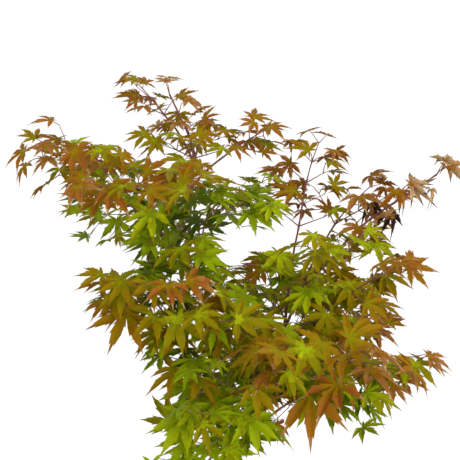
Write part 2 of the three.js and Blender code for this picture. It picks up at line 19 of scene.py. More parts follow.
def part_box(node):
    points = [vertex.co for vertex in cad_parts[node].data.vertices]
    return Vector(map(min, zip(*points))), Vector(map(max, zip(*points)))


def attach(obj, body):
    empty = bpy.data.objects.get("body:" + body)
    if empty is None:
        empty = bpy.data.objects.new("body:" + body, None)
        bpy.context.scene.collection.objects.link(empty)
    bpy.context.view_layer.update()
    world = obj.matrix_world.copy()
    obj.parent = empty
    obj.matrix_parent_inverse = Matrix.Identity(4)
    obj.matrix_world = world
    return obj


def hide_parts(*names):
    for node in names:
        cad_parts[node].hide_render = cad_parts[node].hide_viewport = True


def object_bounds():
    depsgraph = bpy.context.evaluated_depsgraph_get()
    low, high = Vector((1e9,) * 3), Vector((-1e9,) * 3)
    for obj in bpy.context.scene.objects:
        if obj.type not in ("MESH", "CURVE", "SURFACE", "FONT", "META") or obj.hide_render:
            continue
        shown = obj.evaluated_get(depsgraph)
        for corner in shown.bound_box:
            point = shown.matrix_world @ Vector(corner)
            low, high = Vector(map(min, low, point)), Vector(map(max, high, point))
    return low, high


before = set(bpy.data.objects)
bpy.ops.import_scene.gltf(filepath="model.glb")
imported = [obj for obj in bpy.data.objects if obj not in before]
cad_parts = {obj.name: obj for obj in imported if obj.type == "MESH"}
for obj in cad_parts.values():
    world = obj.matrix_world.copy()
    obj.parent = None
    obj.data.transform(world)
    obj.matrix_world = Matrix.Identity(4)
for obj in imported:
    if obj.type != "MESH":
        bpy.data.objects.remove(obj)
CAD_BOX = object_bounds()

log = logging.getLogger("maple")

Array = NDArray[np.float64]
Indices = NDArray[np.int64]
Range = tuple[float, float]
Triple = tuple[float, float, float]
Light = tuple[float, float, float, float]
Corner = tuple[int, float, float]
Chance = np.random.Generator
Material = bpy.types.Material
Socket = bpy.types.NodeSocket

MM = 0.001
UP = np.array([0.0, 0.0, 1.0])
LEVEL = np.array([1.0, 1.0, 0.0])
HANDS = (-1.0, 1.0)
POLE_RADIUS = 0.01
ROOT_BODY = "root"
LOOKS_SEED = 2211

# Growth that the scene shares with the solids, in millimetres, degrees and shares
COMPOST_LEVEL = 205.0
FORK_HEIGHT = 52.0
STEM_TAPER = 0.85
BOUGH_SHARE = 0.42
BOUGH_ARCH = 0.05
BOUGH_DROOP = 8.0
BOUGH_THICK_SHARE = 0.0085
BOUGH_THINNEST_ROOT = 1.9
BOUGH_TIP_RADIUS = 1.6
LOW_LEAVES = 150.0
LEAF_ZONE = 700.0
CROWN_SEED = 850


class Slot(Enum):
    """Names for material slots, which this script gives to no piece."""

    POT = "pot"
    COMPOST = "compost"
    BARK = "bark"
    YOUNG_BARK = "young_bark"
    BRONZE_LEAVES = "bronze_leaves"
    GREEN_LEAVES = "green_leaves"


class LimbKind(Enum):
    """How a limb leaves its stem."""

    LEADER = "goes on from the stem's tip"
    BOUGH = "a tapering limb with a spray on its tip"
    INNER = "a spray straight from the stem"


class Zone(Enum):
    """Parts of a leaf from its palm to its tips; the value says how much redder that part is."""

    PALM = -1.4
    LOBE = -0.2
    SHOULDER = 0.7
    TIP = 2.2


# Vectors and curves


def unit(vectors: Array) -> Array:
    """The vectors along the last axis at length one."""
    return vectors / np.linalg.norm(vectors, axis=-1, keepdims=True)


def heading(bearing: float, rise: float) -> Array:
    """The unit vector at a bearing from +X towards +Y and a rise above the level, both in degrees."""
    turn, lift = math.radians(bearing), math.radians(rise)
    return np.array([math.cos(turn) * math.cos(lift), math.sin(turn) * math.cos(lift), math.sin(lift)])


def turned(vector: Array, axis: Array, degrees: float) -> Array:
    """A vector turned about an axis: v cos a + (axis x v) sin a + axis (axis . v)(1 - cos a).

    Args:
        vector: The vector v.
        axis: Unit vector to turn about.
        degrees: Angle a, right-handed.

    Returns:
        The turned vector.
    """
    angle = math.radians(degrees)
    along = axis * (axis @ vector) * (1 - math.cos(angle))
    return vector * math.cos(angle) + np.cross(axis, vector) * math.sin(angle) + along


def spun(points: Array, first: int, second: int, angle: Array) -> Array:
    """Groups of points turned in the plane of two axes: (u cos a - v sin a, u sin a + v cos a).

    Args:
        points: Groups by points by three.
        first: Number of the axis u.
        second: Number of the axis v.
        angle: Angle a of each group, in radians.

    Returns:
        The turned points.
    """
    cosine, sine = np.cos(angle)[:, None], np.sin(angle)[:, None]
    result = points.copy()
    result[..., first] = points[..., first] * cosine - points[..., second] * sine
    result[..., second] = points[..., first] * sine + points[..., second] * cosine
    return result


def left_of(along: Array) -> Array:
    """The level unit vector to one side of a direction."""
    return unit(np.cross(along, UP))


def angles_round(count: int) -> Array:
    """Even angles once round a circle, in radians."""
    return 2 * math.pi * np.arange(count) / count


def arch(start: Array, crest: Array, end: Array, count: int) -> Array:
    """Points of a curve pulled to a crest: (1-t)(1-t) start + 2 t (1-t) crest + t t end, t from 0 to 1."""
    share = np.linspace(0, 1, count)[:, None]
    return (1 - share) ** 2 * start + 2 * share * (1 - share) * crest + share**2 * end


def smooth_path(joints: list[Array], steps: int) -> Array:
    """A smooth curve through joints, in cubic spans.

    The slope at a joint is half of the step from the joint before it to the one after it.

    Args:
        joints: Points that the curve passes through.
        steps: Spans between two joints.

    Returns:
        Points along the curve, the joints among them.
    """
    places = np.array(joints)
    slope = np.gradient(places, axis=0)
    share = np.arange(steps)[None, :, None] / steps
    start, end = places[:-1, None], places[1:, None]
    leave, arrive = slope[:-1, None], slope[1:, None]
    curve = ((2 * share**3 - 3 * share**2 + 1) * start + (share**3 - 2 * share**2 + share) * leave
             + (3 * share**2 - 2 * share**3) * end + (share**3 - share**2) * arrive)
    return np.concatenate([curve.reshape(-1, 3), places[-1:]])


def path_lengths(path: Array) -> Array:
    """How far each point lies along its path."""
    return np.concatenate([[0.0], np.cumsum(np.linalg.norm(np.diff(path, axis=0), axis=1))])


def whole(value: float) -> int:
    """The nearest whole number, with halves going up."""
    return math.floor(value + 0.5)


def height_share(height: float) -> float:
    """How high a place is in the leafy part of the crown, from 0 to 1."""
    return min(1.0, max(0.0, (height - COMPOST_LEVEL - LOW_LEAVES) / LEAF_ZONE))


class Seeded:
    """A repeatable stream of numbers from 0 to 1 out of one whole-number seed."""

    MASK = 0xFFFFFFFF
    STRIDE = 0x6D2B79F5
    SHIFTS = (15, 7, 14)
    STIR = 61

    def __init__(self, seed: int) -> None:
        """Starts the stream at its seed."""
        self.state = seed & self.MASK

    def draw(self) -> float:
        """The next number: the state goes up by a fixed stride, and its bits are mixed three times.

        Returns:
            A number from 0 up to 1.
        """
        first, second, third = self.SHIFTS
        self.state = (self.state + self.STRIDE) & self.MASK
        mixed = self.state
        mixed = ((mixed ^ (mixed >> first)) * (mixed | 1)) & self.MASK
        mixed ^= (mixed + (((mixed ^ (mixed >> second)) * (mixed | self.STIR)) & self.MASK)) & self.MASK
        return (mixed ^ (mixed >> third)) / (self.MASK + 1)

    def within(self, limits: Range) -> float:
        """The next number, scaled to lie between two limits."""
        return limits[0] + (limits[1] - limits[0]) * self.draw()


# Meshes


@dataclass
class Surface:
    """Points in millimetres and the faces over them, with a finish number and UV corners for each face."""

    points: Array
    faces: list[list[int]]
    finish: list[int] | Indices = field(default_factory=list)
    corners: Array | None = None

    def in_finish(self, number: int) -> "Surface":
        """The same surface with all of its faces in one finish."""
        return replace(self, finish=[number] * len(self.faces))

    @staticmethod
    def ringed(rings: Array) -> "Surface":
        """A closed surface over rings of points: quads from each ring to the next, and a cap on either end.

        Args:
            rings: Rings by columns by three. Faces point outwards where a ring runs anticlockwise, seen from
                the last ring.

        Returns:
            The closed surface.
        """
        count, columns = rings.shape[:2]
        low, column = np.meshgrid(np.arange(count - 1) * columns, np.arange(columns), indexing="ij")
        high, after = low + columns, (column + 1) % columns
        quads = np.stack([low + column, low + after, high + after, high + column], -1).reshape(-1, 4)
        last = (count - 1) * columns
        caps = [list(range(columns))[::-1], list(range(last, last + columns))]
        return Surface(rings.reshape(-1, 3), quads.tolist() + caps)

    @staticmethod
    def joined(parts: list["Surface"]) -> "Surface":
        """One surface of all the parts, each one's indices raised past the points before it.

        Args:
            parts: Surfaces without UV corners.

        Returns:
            The joined surface.
        """
        faces: list[list[int]] = []
        finish: list[int] = []
        start = 0
        for part in parts:
            faces += [[index + start for index in face] for face in part.faces]
            finish += list(part.finish) if len(part.finish) else [0] * len(part.faces)
            start += len(part.points)
        return Surface(np.concatenate([part.points for part in parts]), faces, finish)


def tube(path: Array, radii: Array, sides: int) -> Surface:
    """A profile carried along a path, closed at both ends.

    Each ring stands square to the path: point = centre + radius (cos a across + sin a other), where across
    is square to the path and to the axis that the path leans on least.

    Args:
        path: Centres of the rings, one row each.
        radii: Radius of each ring, or of each ring at each of its angles.
        sides: Points round a ring.

    Returns:
        The closed tube.
    """
    way = unit(np.gradient(path, axis=0))
    reference = np.eye(3)[np.argmin(np.abs(path[-1] - path[0]))]
    across = unit(np.cross(reference, way))
    other = np.cross(way, across)
    angle = angles_round(sides)[None, :, None]
    round_way = np.cos(angle) * across[:, None] + np.sin(angle) * other[:, None]
    return Surface.ringed(path[:, None] + radii[..., None] * round_way)


def add_object(name: str, surface: Surface, finishes: list[Material]) -> bpy.types.Object:
    """Makes a mesh object at the origin.

    Args:
        name: The object's name.
        surface: Its points, faces, finish numbers and UV corners.
        finishes: Materials in the order of the finish numbers.

    Returns:
        The new object.
    """
    mesh = bpy.data.meshes.new(name)
    mesh.from_pydata((surface.points * MM).tolist(), [], surface.faces)
    for finish in finishes:
        mesh.materials.append(finish)
    if len(surface.finish):
        mesh.polygons.foreach_set("material_index", np.asarray(surface.finish, dtype=np.int32))
    if surface.corners is not None:
        mesh.uv_layers.new(name="UVMap").data.foreach_set("uv", surface.corners.ravel())
    mesh.update()
    made = bpy.data.objects.new(name, mesh)
    bpy.context.scene.collection.objects.link(made)
    return made


def shade_smooth(mesh: bpy.types.Mesh, sharp: float | None) -> None:
    """Shades a mesh smooth, but for its sharp edges.

    Args:
        mesh: The mesh.
        sharp: Degrees of bend above which an edge stays sharp, or none.
    """
    mesh.polygons.foreach_set("use_smooth", np.ones(len(mesh.polygons), dtype=bool))
    if sharp is not None:
        mesh.set_sharp_from_angle(angle=math.radians(sharp))


def add_piece(name: str, surface: Surface, finishes: list[Material], replaced: list[str],
              sharp: float | None = None) -> bpy.types.Object:
    """Makes a piece that rides on the plant's one body.

    Args:
        name: The piece's name.
        surface: Its points, faces, finish numbers and UV corners.
        finishes: Materials in the order of the finish numbers.
        replaced: Solids that it stands for.
        sharp: Degrees of bend above which an edge stays sharp, or none.

    Returns:
        The new object.
    """
    piece = add_object(name, surface, finishes)
    shade_smooth(piece.data, sharp)
    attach(piece, ROOT_BODY)
    if replaced:
        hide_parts(*replaced)
    counts = len(piece.data.vertices), len(piece.data.polygons), len(replaced)
    log.info("%s: %d points, %d faces, stands for %d solids", name, *counts)
    return piece


# Finishes: a noise is its scale and detail, a relief its strength and its depth in metres


def linear(colour: Triple) -> Light:
    """A display colour, 0 to 255, as linear light with full opacity."""
    shown = np.array(colour) / 255
    return (*np.where(shown <= 0.04045, shown / 12.92, ((shown + 0.055) / 1.055) ** 2.4).tolist(), 1.0)


class NodeSheet:
    """A new material's nodes, with short ways to add them and join them up."""

    def __init__(self, name: str) -> None:
        """Starts a material with its principled shader.

        Args:
            name: The material's name.
        """
        self.material = bpy.data.materials.new(name)
        self.material.use_nodes = True
        self.tree = self.material.node_tree
        self.shader = self.tree.nodes["Principled BSDF"]

    def add(self, kind: str, inputs: dict[str | int, object], **settings: object) -> bpy.types.Node:
        """Adds a node.

        Args:
            kind: Its type, without the leading ShaderNode.
            inputs: What goes into its sockets, by name or number: another socket, or a value.
            settings: The node's own options.

        Returns:
            The node.
        """
        node = self.tree.nodes.new("ShaderNode" + kind)
        for option, value in settings.items():
            setattr(node, option, value)
        self.feed(node, inputs)
        return node

    def feed(self, node: bpy.types.Node, inputs: dict[str | int, object]) -> None:
        """Joins sockets to a node's inputs, or sets their values.

        Args:
            node: The node that takes them.
            inputs: Another socket or a value for each input, by name or number.
        """
        for key, value in inputs.items():
            if isinstance(value, Socket):
                self.tree.links.new(value, node.inputs[key])
            else:
                node.inputs[key].default_value = value

    def coordinates(self, stretch: Triple = (1.0, 1.0, 1.0)) -> Socket:
        """Object coordinates, stretched along each axis."""
        place = self.add("TexCoord", {}).outputs["Object"]
        return self.add("Mapping", {"Vector": place, "Scale": stretch}).outputs["Vector"]

    def noise(self, place: Socket, scale: float, detail: float = 4.0) -> Socket:
        """Cloudy noise at a place: its strength from 0 to 1."""
        return self.add("TexNoise", {"Vector": place, "Scale": scale, "Detail": detail}).outputs["Fac"]

    def ramp(self, strength: Socket, ends: Range, low: Light, high: Light) -> Socket:
        """Colours along a strength.

        Args:
            strength: From 0 to 1.
            ends: Strengths where the change starts and ends.
            low: Colour before the change.
            high: Colour after it.

        Returns:
            The colour's socket.
        """
        node = self.add("ValToRGB", {"Fac": strength})
        for element, place, colour in zip(node.color_ramp.elements, ends, (low, high)):
            element.position = place
            element.color = colour
        return node.outputs["Color"]

    def mix(self, share: Socket, first: Socket, second: Light) -> Socket:
        """A share of a second colour over the first."""
        return self.add("MixRGB", {"Fac": share, "Color1": first, "Color2": second}).outputs["Color"]

    def remap(self, strength: Socket, low: float, high: float, full: float = 1.0) -> Socket:
        """A strength from 0 to its full value moved to another range."""
        inputs = {"Value": strength, "From Max": full, "To Min": low, "To Max": high}
        return self.add("MapRange", inputs).outputs["Result"]

    def math(self, operation: str, first: object, second: object = 0.0) -> Socket:
        """One sum on numbers."""
        return self.add("Math", {0: first, 1: second}, operation=operation).outputs["Value"]

    def bump(self, height: Socket, strength: float, depth: float) -> None:
        """Raises the surface by a height, at a strength, over a depth in metres."""
        node = self.add("Bump", {"Height": height, "Strength": strength, "Distance": depth})
        self.feed(self.shader, {"Normal": node.outputs["Normal"]})

    def finished(self, inputs: dict[str | int, object]) -> Material:
        """The material, once its shader has taken its inputs."""
        self.feed(self.shader, inputs)
        return self.material


@dataclass(frozen=True)
class LeafFinish:
    """Satin leaf of one plain colour; a midrib and slanting side veins follow the lobe's own UV."""

    name: str
    colour: Triple
    gloss: Range = (0.42, 0.6)
    gloss_scale: float = 60.0
    vein_count: float = 60.0
    vein_slant: float = 22.0
    vein_height: float = 0.25
    midrib_slope: float = 9.0
    midrib_height: float = 1.0
    relief: Range = (0.5, 0.0008)
    specular: float = 0.035

    def material(self) -> Material:
        """Builds the leaf's shader.

        Side veins are the sine of count x V - slant x |U - 1/2|; the midrib is a ridge where U is a half.

        Returns:
            The material.
        """
        sheet = NodeSheet(self.name)
        axes = sheet.add("SeparateXYZ", {"Vector": sheet.add("TexCoord", {}).outputs["UV"]}).outputs
        aside = sheet.math("ABSOLUTE", sheet.math("SUBTRACT", axes["X"], 0.5))
        slanted = sheet.math("SUBTRACT", sheet.math("MULTIPLY", axes["Y"], self.vein_count),
                             sheet.math("MULTIPLY", aside, self.vein_slant))
        veins = sheet.math("MULTIPLY", sheet.math("SINE", slanted), self.vein_height)
        slope = sheet.math("MULTIPLY", aside, self.midrib_slope)
        midrib = sheet.math("SMOOTH_MIN", slope, self.midrib_height)
        sheet.bump(sheet.math("SUBTRACT", veins, midrib), *self.relief)
        cloud = sheet.noise(sheet.coordinates(), self.gloss_scale)
        return sheet.finished({
            "Base Color": linear(self.colour),
            "Roughness": sheet.remap(cloud, *self.gloss),
            "Specular IOR Level": self.specular,
        })


@dataclass(frozen=True)
class TwigFinish:
    """Thin bark of one plain colour on twigs, leaf stalks and crumbs, with fine pores."""

    name: str
    colour: Triple
    roughness: Range = (0.45, 0.65)
    gloss_scale: float = 120.0
    pore_noise: Range = (900.0, 2.0)
    relief: Range = (0.35, 0.0004)

    def material(self) -> Material:
        """Builds the twig's shader, with pores as small bumps and uneven gloss.

        Returns:
            The material.
        """
        sheet = NodeSheet(self.name)
        place = sheet.coordinates()
        sheet.bump(sheet.noise(place, *self.pore_noise), *self.relief)
        gloss = sheet.remap(sheet.noise(place, self.gloss_scale), *self.roughness)
        return sheet.finished({"Base Color": linear(self.colour), "Roughness": gloss})


@dataclass(frozen=True)
class BarkFinish:
    """Thin smooth bark: dark and light streaks along the limb, pale pores and a grey-green bloom."""

    name: str
    dark: Triple
    light: Triple
    bloom: Triple
    streak_stretch: Triple = (1.0, 1.0, 0.12)
    streak_noise: Range = (420.0, 6.0)
    streak_ends: Range = (0.3, 0.7)
    patch_noise: Range = (38.0, 3.0)
    patch_ends: Range = (0.5, 0.72)
    bloom_most: Light = (0.6, 0.6, 0.6, 1.0)
    pore_stretch: Triple = (1.0, 1.0, 3.0)
    pore_noise: Range = (260.0, 1.0)
    pore_height: float = 0.5
    relief: Range = (0.7, 0.0012)
    roughness: Range = (0.62, 0.85)

    def material(self) -> Material:
        """Builds the bark's shader.

        Returns:
            The material.
        """
        sheet = NodeSheet(self.name)
        streaks = sheet.noise(sheet.coordinates(self.streak_stretch), *self.streak_noise)
        patches = sheet.noise(sheet.coordinates(), *self.patch_noise)
        pores = sheet.noise(sheet.coordinates(self.pore_stretch), *self.pore_noise)
        bark = sheet.ramp(streaks, self.streak_ends, linear(self.dark), linear(self.light))
        bloomed = sheet.ramp(patches, self.patch_ends, linear((0, 0, 0)), self.bloom_most)
        sheet.bump(sheet.math("ADD", streaks, sheet.math("MULTIPLY", pores, self.pore_height)), *self.relief)
        return sheet.finished({
            "Base Color": sheet.mix(bloomed, bark, linear(self.bloom)),
            "Roughness": sheet.remap(patches, *self.roughness),
        })


@dataclass(frozen=True)
class PlasticFinish:
    """Moulded satin plastic of a nursery pot, with dust towards its foot and a fine grain."""

    name: str
    colour: Triple
    faded: Triple
    dust: Triple
    dust_height: float
    cloud_noise: Range = (14.0, 5.0)
    cloud_ends: Range = (0.3, 0.75)
    dust_most: float = 0.55
    speckle_noise: Range = (90.0, 6.0)
    scuff_stretch: Triple = (1.0, 1.0, 6.0)
    scuff_noise: Range = (45.0, 6.0)
    grain_noise: Range = (1400.0, 2.0)
    relief: Range = (0.18, 0.0004)
    roughness: Range = (0.38, 0.62)
    specular: float = 0.4

    def material(self) -> Material:
        """Builds the pot's shader: cloudy fading, dust that thins out with height, and grain.

        Returns:
            The material.
        """
        sheet = NodeSheet(self.name)
        place = sheet.coordinates()
        clouds = sheet.noise(place, *self.cloud_noise)
        body = sheet.ramp(clouds, self.cloud_ends, linear(self.colour), linear(self.faded))
        height = sheet.add("SeparateXYZ", {"Vector": place}).outputs["Z"]
        low = sheet.remap(height, self.dust_most, 0.0, self.dust_height)
        speckle = sheet.math("MULTIPLY", low, sheet.noise(place, *self.speckle_noise))
        scuffs = sheet.noise(sheet.coordinates(self.scuff_stretch), *self.scuff_noise)
        sheet.bump(sheet.noise(place, *self.grain_noise), *self.relief)
        return sheet.finished({
            "Base Color": sheet.mix(speckle, body, linear(self.dust)),
            "Roughness": sheet.remap(scuffs, *self.roughness),
            "Specular IOR Level": self.specular,
        })


@dataclass(frozen=True)
class CompostFinish:
    """Crumbly compost: dark and brown crumbs of two sizes."""

    name: str
    dark: Triple
    brown: Triple
    fine_noise: Range = (480.0, 6.0)
    fine_ends: Range = (0.35, 0.7)
    cell_scale: float = 220.0
    relief: Range = (0.9, 0.003)
    roughness: Range = (0.85, 1.0)

    def material(self) -> Material:
        """Builds the compost's shader from fine noise and larger cells.

        Returns:
            The material.
        """
        sheet = NodeSheet(self.name)
        place = sheet.coordinates()
        fine = sheet.noise(place, *self.fine_noise)
        cells = sheet.add("TexVoronoi", {"Vector": place, "Scale": self.cell_scale}).outputs["Distance"]
        sheet.bump(sheet.math("ADD", fine, cells), *self.relief)
        colour = sheet.ramp(fine, self.fine_ends, linear(self.dark), linear(self.brown))
        return sheet.finished({"Base Color": colour, "Roughness": sheet.remap(fine, *self.roughness)})


@dataclass(frozen=True)
class FloorFinish:
    """Plain pale studio floor."""

    name: str
    colour: Triple
    grain_noise: Range = (80.0, 3.0)
    roughness: Range = (0.8, 0.95)

    def material(self) -> Material:
        """Builds the floor's matt shader with a faint grain.

        Returns:
            The material.
        """
        sheet = NodeSheet(self.name)
        grain = sheet.noise(sheet.coordinates(), *self.grain_noise)
        matt = sheet.remap(grain, *self.roughness)
        return sheet.finished({"Base Color": linear(self.colour), "Roughness": matt})


class Tint(Enum):
    """Leaf colours in the order that a leaf ripens, after a first darker green of painted shade."""

    # The first green is painted shade, for leaves that stand in shade, and not a stage of ripening
    SHADE_GREEN = (72, 88, 3)
    DEEP_GREEN = (108, 122, 4)
    GREEN = (131, 151, 6)
    FRESH_GREEN = (148, 157, 8)
    OLIVE = (122, 118, 3)
    GOLD = (130, 114, 3)
    AMBER = (134, 106, 4)
    BRONZE = (134, 94, 8)
    RUST = (140, 84, 26)
    TAN = (152, 112, 66)
    BUFF = (172, 142, 98)


def ripening(mixes: int) -> list[LeafFinish]:
    """Leaf finishes from the painted-shade green to buff: the tints in order, and even mixes between
    neighbours.

    Args:
        mixes: Steps from one tint to the next.

    Returns:
        The finishes.
    """
    tints = np.array([tint.value for tint in Tint], dtype=float)
    place = np.linspace(0, len(tints) - 1, (len(tints) - 1) * mixes + 1)
    mixed = np.stack([np.interp(place, np.arange(len(tints)), channel) for channel in tints.T], -1)
    return [LeafFinish(f"leaf_{step}", tuple(colour)) for step, colour in enumerate(mixed.tolist())]


TINT_MIXES = 2
RIPENING = ripening(TINT_MIXES)
DRIED = LeafFinish("leaf_dried", (50, 36, 27), gloss=(0.7, 0.85))


# Growth, in millimetres


@dataclass(frozen=True)
class Stem:
    """A stem above the fork: its foot across the fork, bearing and rise in degrees, length, bow to the left,
    and radii at the fork and the tip.
    """

    name: str
    foot: float
    bearing: float
    rise: float
    length: float
    bow: float
    thick: float
    thin: float

    def at(self, share: float | Array) -> Array:
        """The stem's middle line at shares of its length: a straight line bowed by 4 s (1 - s).

        Args:
            share: One share or several.

        Returns:
            One point, or a row for each share.
        """
        along = np.asarray(share, dtype=float)[..., None]
        foot = np.array([self.foot, 0.0, COMPOST_LEVEL + FORK_HEIGHT])
        bowed = np.array([self.bow, 0.0, 0.0]) * 4 * along * (1 - along)
        return foot + heading(self.bearing, self.rise) * self.length * along - bowed

    def at_height(self, height: float) -> Array:
        """The middle line at a height above the compost."""
        return self.at((height - FORK_HEIGHT) / (self.length * math.sin(math.radians(self.rise))))

    def radius(self, share: Array) -> Array:
        """The stem's radius at shares of its length."""
        return self.thick + (self.thin - self.thick) * share**STEM_TAPER


@dataclass(frozen=True)
class SprayLook:
    """How one spray departs from the rest: how much riper, how much larger, and how many tints of painted
    shade darken it; negative ones are painted light.
    """

    riper: float = 0.0
    scale: float = 1.0
    painted_shade: float = 0.0


@dataclass(frozen=True)
class Limb:
    """A limb: height on its stem, bearing and rise in degrees, reach, spread of its side twigs, and look."""

    stem: Stem
    kind: LimbKind
    seed: int
    name: str
    height: float
    bearing: float
    rise: float
    reach: float
    spread: float
    look: SprayLook = SprayLook()

    @property
    def foliage(self) -> str:
        """The solid of the limb's mass of foliage."""
        return "foliage_" + self.name

    @property
    def bough(self) -> str:
        """The solid of the limb's bough."""
        return "bough_" + self.name

    @property
    def bough_radius(self) -> float:
        """The bough's radius at its root."""
        return max(BOUGH_THINNEST_ROOT, BOUGH_THICK_SHARE * self.reach)

    def bough_path(self, rings: int) -> Array:
        """The bough's middle line: an arch from the stem's middle line to the tip.

        Args:
            rings: Number of points.

        Returns:
            The points.
        """
        root = self.stem.at_height(self.height)
        length = self.reach * BOUGH_SHARE
        tip = root + heading(self.bearing, self.rise) * length
        return arch(root, (root + tip) / 2 + UP * 2 * BOUGH_ARCH * length, tip, rings)

    def spray_start(self) -> tuple[Array, Array, float]:
        """Where the limb's spray starts: on the stem's tip, on the bough's tip or in the stem.

        Returns:
            The spray's start, its direction and its reach.
        """
        if self.kind is LimbKind.BOUGH:
            start = self.bough_path(2)[-1]
            return start, heading(self.bearing, self.rise - BOUGH_DROOP), self.reach * (1 - BOUGH_SHARE)
        is_leader = self.kind is LimbKind.LEADER
        start = self.stem.at(1.0) if is_leader else self.stem.at_height(self.height)
        return start, heading(self.bearing, self.rise), self.reach


LEFT_STEM = Stem("stem_left", foot=-8.5, bearing=180, rise=90, length=663, bow=14, thick=5.0, thin=1.9)
RIGHT_STEM = Stem("stem_right", foot=8.5, bearing=-5, rise=71, length=474, bow=6, thick=4.8, thin=2.2)
STEMS = (LEFT_STEM, RIGHT_STEM)

# Limbs by stem and kind: name, height, bearing, rise, reach, spread and, where it has its own, look
# A look's painted shade darkens sprays inside and behind the crown that stand in shade; where negative it
# paints light onto low sprays shaded by the crown above
LIMB_GROUPS = [
    (LEFT_STEM, LimbKind.LEADER, [
        ("top", 0, -160, 80, 100, 0.1, SprayLook(0.18)),
    ]),
    (LEFT_STEM, LimbKind.BOUGH, [
        ("top_left", 700, -200, 60, 150, 0.2, SprayLook(0.13)),
        ("top_right", 690, 80, 40, 110, 0.5, SprayLook(0.08)),
        ("left_high", 650, -140, 20, 270, 0.7, SprayLook(0.07, scale=0.94)),
        ("left_low", 530, -150, 50, 280, 0.5, SprayLook(-0.16, painted_shade=1.4)),
        ("front_high", 640, -100, 20, 300, 0.6, SprayLook(0.16)),
        ("low_left_front", 370, -100, 45, 260, 0.6, SprayLook(0.24, scale=1.12)),
        ("low_left", 280, -100, 75, 190, 0.2, SprayLook(-0.08, scale=0.92)),
        ("low_front", 150, -50, 55, 310, 0.8, SprayLook(-0.24, scale=0.78, painted_shade=-0.4)),
        ("back_high", 580, 120, 10, 270, 0.7, SprayLook(-0.2, painted_shade=0.6)),
        ("back_left", 480, 80, 35, 340, 0.7, SprayLook(-0.2, painted_shade=0.6)),
        ("back_low", 230, 60, 15, 260, 0.8),
        ("centre_high", 660, 0, 45, 150, 0.2, SprayLook(0.12)),
    ]),
    (RIGHT_STEM, LimbKind.LEADER, [
        ("right_shoot", 0, -20, 45, 280, 0.1, SprayLook(0.06)),
    ]),
    (RIGHT_STEM, LimbKind.BOUGH, [
        ("right_high", 480, 30, 60, 230, 0.7, SprayLook(0.42, scale=1.04)),
        ("mid_high", 430, 60, 75, 320, 0.2, SprayLook(0.26, scale=0.98)),
        ("right_mid", 360, -40, 50, 300, 0.3, SprayLook(0.12, scale=0.98)),
        ("right_low", 230, -40, 45, 320, 0.7, SprayLook(-0.42, scale=0.84)),
        ("right_front", 300, -60, 35, 330, 0.8, SprayLook(0.24, scale=1.04)),
        ("back_right", 340, 60, 25, 370, 0.6, SprayLook(-0.1)),
        ("back_middle", 270, 70, 45, 360, 0.8),
    ]),
    (LEFT_STEM, LimbKind.INNER, [
        ("inner_top", 690, -80, 40, 90, 0.6, SprayLook(0.12)),
        ("inner_high_front", 580, -60, 35, 140, 0.7, SprayLook(-0.16, scale=1.06, painted_shade=2.0)),
        ("inner_high_back", 540, 150, 10, 80, 0.6, SprayLook(-0.2, scale=1.16, painted_shade=2.0)),
        ("inner_middle_right", 490, -90, 65, 100, 0.1),
        ("inner_middle_left", 470, -120, 35, 130, 0.8, SprayLook(-0.16, painted_shade=1.3)),
        ("inner_centre", 460, -80, 50, 150, 0.7, SprayLook(-0.06)),
        ("inner_low_left", 390, -130, 45, 100, 0.2),
        ("inner_low_middle", 290, -30, 60, 180, 0.8, SprayLook(-0.1, painted_shade=-0.4)),
        ("inner_foot_left", 190, -70, 40, 110, 0.4, SprayLook(-0.08, scale=0.86, painted_shade=-0.4)),
    ]),
    (RIGHT_STEM, LimbKind.INNER, [
        ("inner_right_high", 490, -70, 40, 140, 0.7),
        ("inner_right_middle", 440, -120, 55, 100, 0.8),
        ("inner_right_side", 400, -10, 35, 190, 0.5, SprayLook(0.1)),
        ("inner_right_low", 290, -80, 50, 220, 0.8, SprayLook(0.1)),
        ("inner_foot_right", 190, -80, 65, 180, 0.6, SprayLook(-0.2, scale=0.86, painted_shade=-0.5)),
    ]),
]
LIMB_ROWS = [(stem, kind, row) for stem, kind, rows in LIMB_GROUPS for row in rows]
LIMBS = [Limb(stem, kind, CROWN_SEED + place, *row) for place, (stem, kind, row) in enumerate(LIMB_ROWS)]


@dataclass
class Leaf:
    """One leaf: its joint on the twig, the blade's base and its three directions, its length and its age.

    Age runs from 0 at a spray's root to 1 at a tip. Fine leaves are the ones that the solids leave out.
    """

    limb: Limb
    joint: Array
    base: Array
    out: Array
    wide: Array
    normal: Array
    size: float
    age: float
    fine: bool
    twig: int

    def tilted(self, pitch: float, turn: float, lift: float) -> "Leaf":
        """The same leaf nodded, swung about the upright and lifted, with its base still on its stalk.

        Args:
            pitch: Degrees that its tip nods down.
            turn: Degrees that it swings.
            lift: Millimetres that its base rises.

        Returns:
            The moved leaf.
        """
        def moved(way: Array) -> Array:
            """A direction nodded about the leaf's width and swung about the upright."""
            return turned(turned(way, self.wide, pitch), UP, turn)

        base = self.joint + turned(self.base - self.joint, UP, turn) + UP * lift
        return replace(self, base=base, out=moved(self.out), wide=moved(self.wide), normal=moved(self.normal))

    def posed(self, way: Array, lean: float, spin: float, scale: float) -> "Leaf":
        """The same leaf with its upper side leaned towards a direction, turned in its own plane and resized.

        Args:
            way: Unit direction that it leans to.
            lean: How much of that direction is added to the blade's normal.
            spin: Degrees that it turns about its normal.
            scale: How much longer it gets.

        Returns:
            The posed leaf.
        """
        normal = unit(self.normal + way * lean)
        out = turned(unit(self.out - normal * (normal @ self.out)), normal, spin)
        return replace(self, out=out, wide=np.cross(normal, out), normal=normal, size=self.size * scale)


@dataclass
class Twig:
    """A twig: the radii of its two ends, and its joints from root to tip."""

    root_radius: float
    tip_radius: float
    joints: list[Array]


@dataclass
class Joint:
    """A joint of a twig: its place, the twig's direction, the way to one side, its age and twig's number."""

    place: Array
    along: Array
    side: Array
    age: float
    twig: int


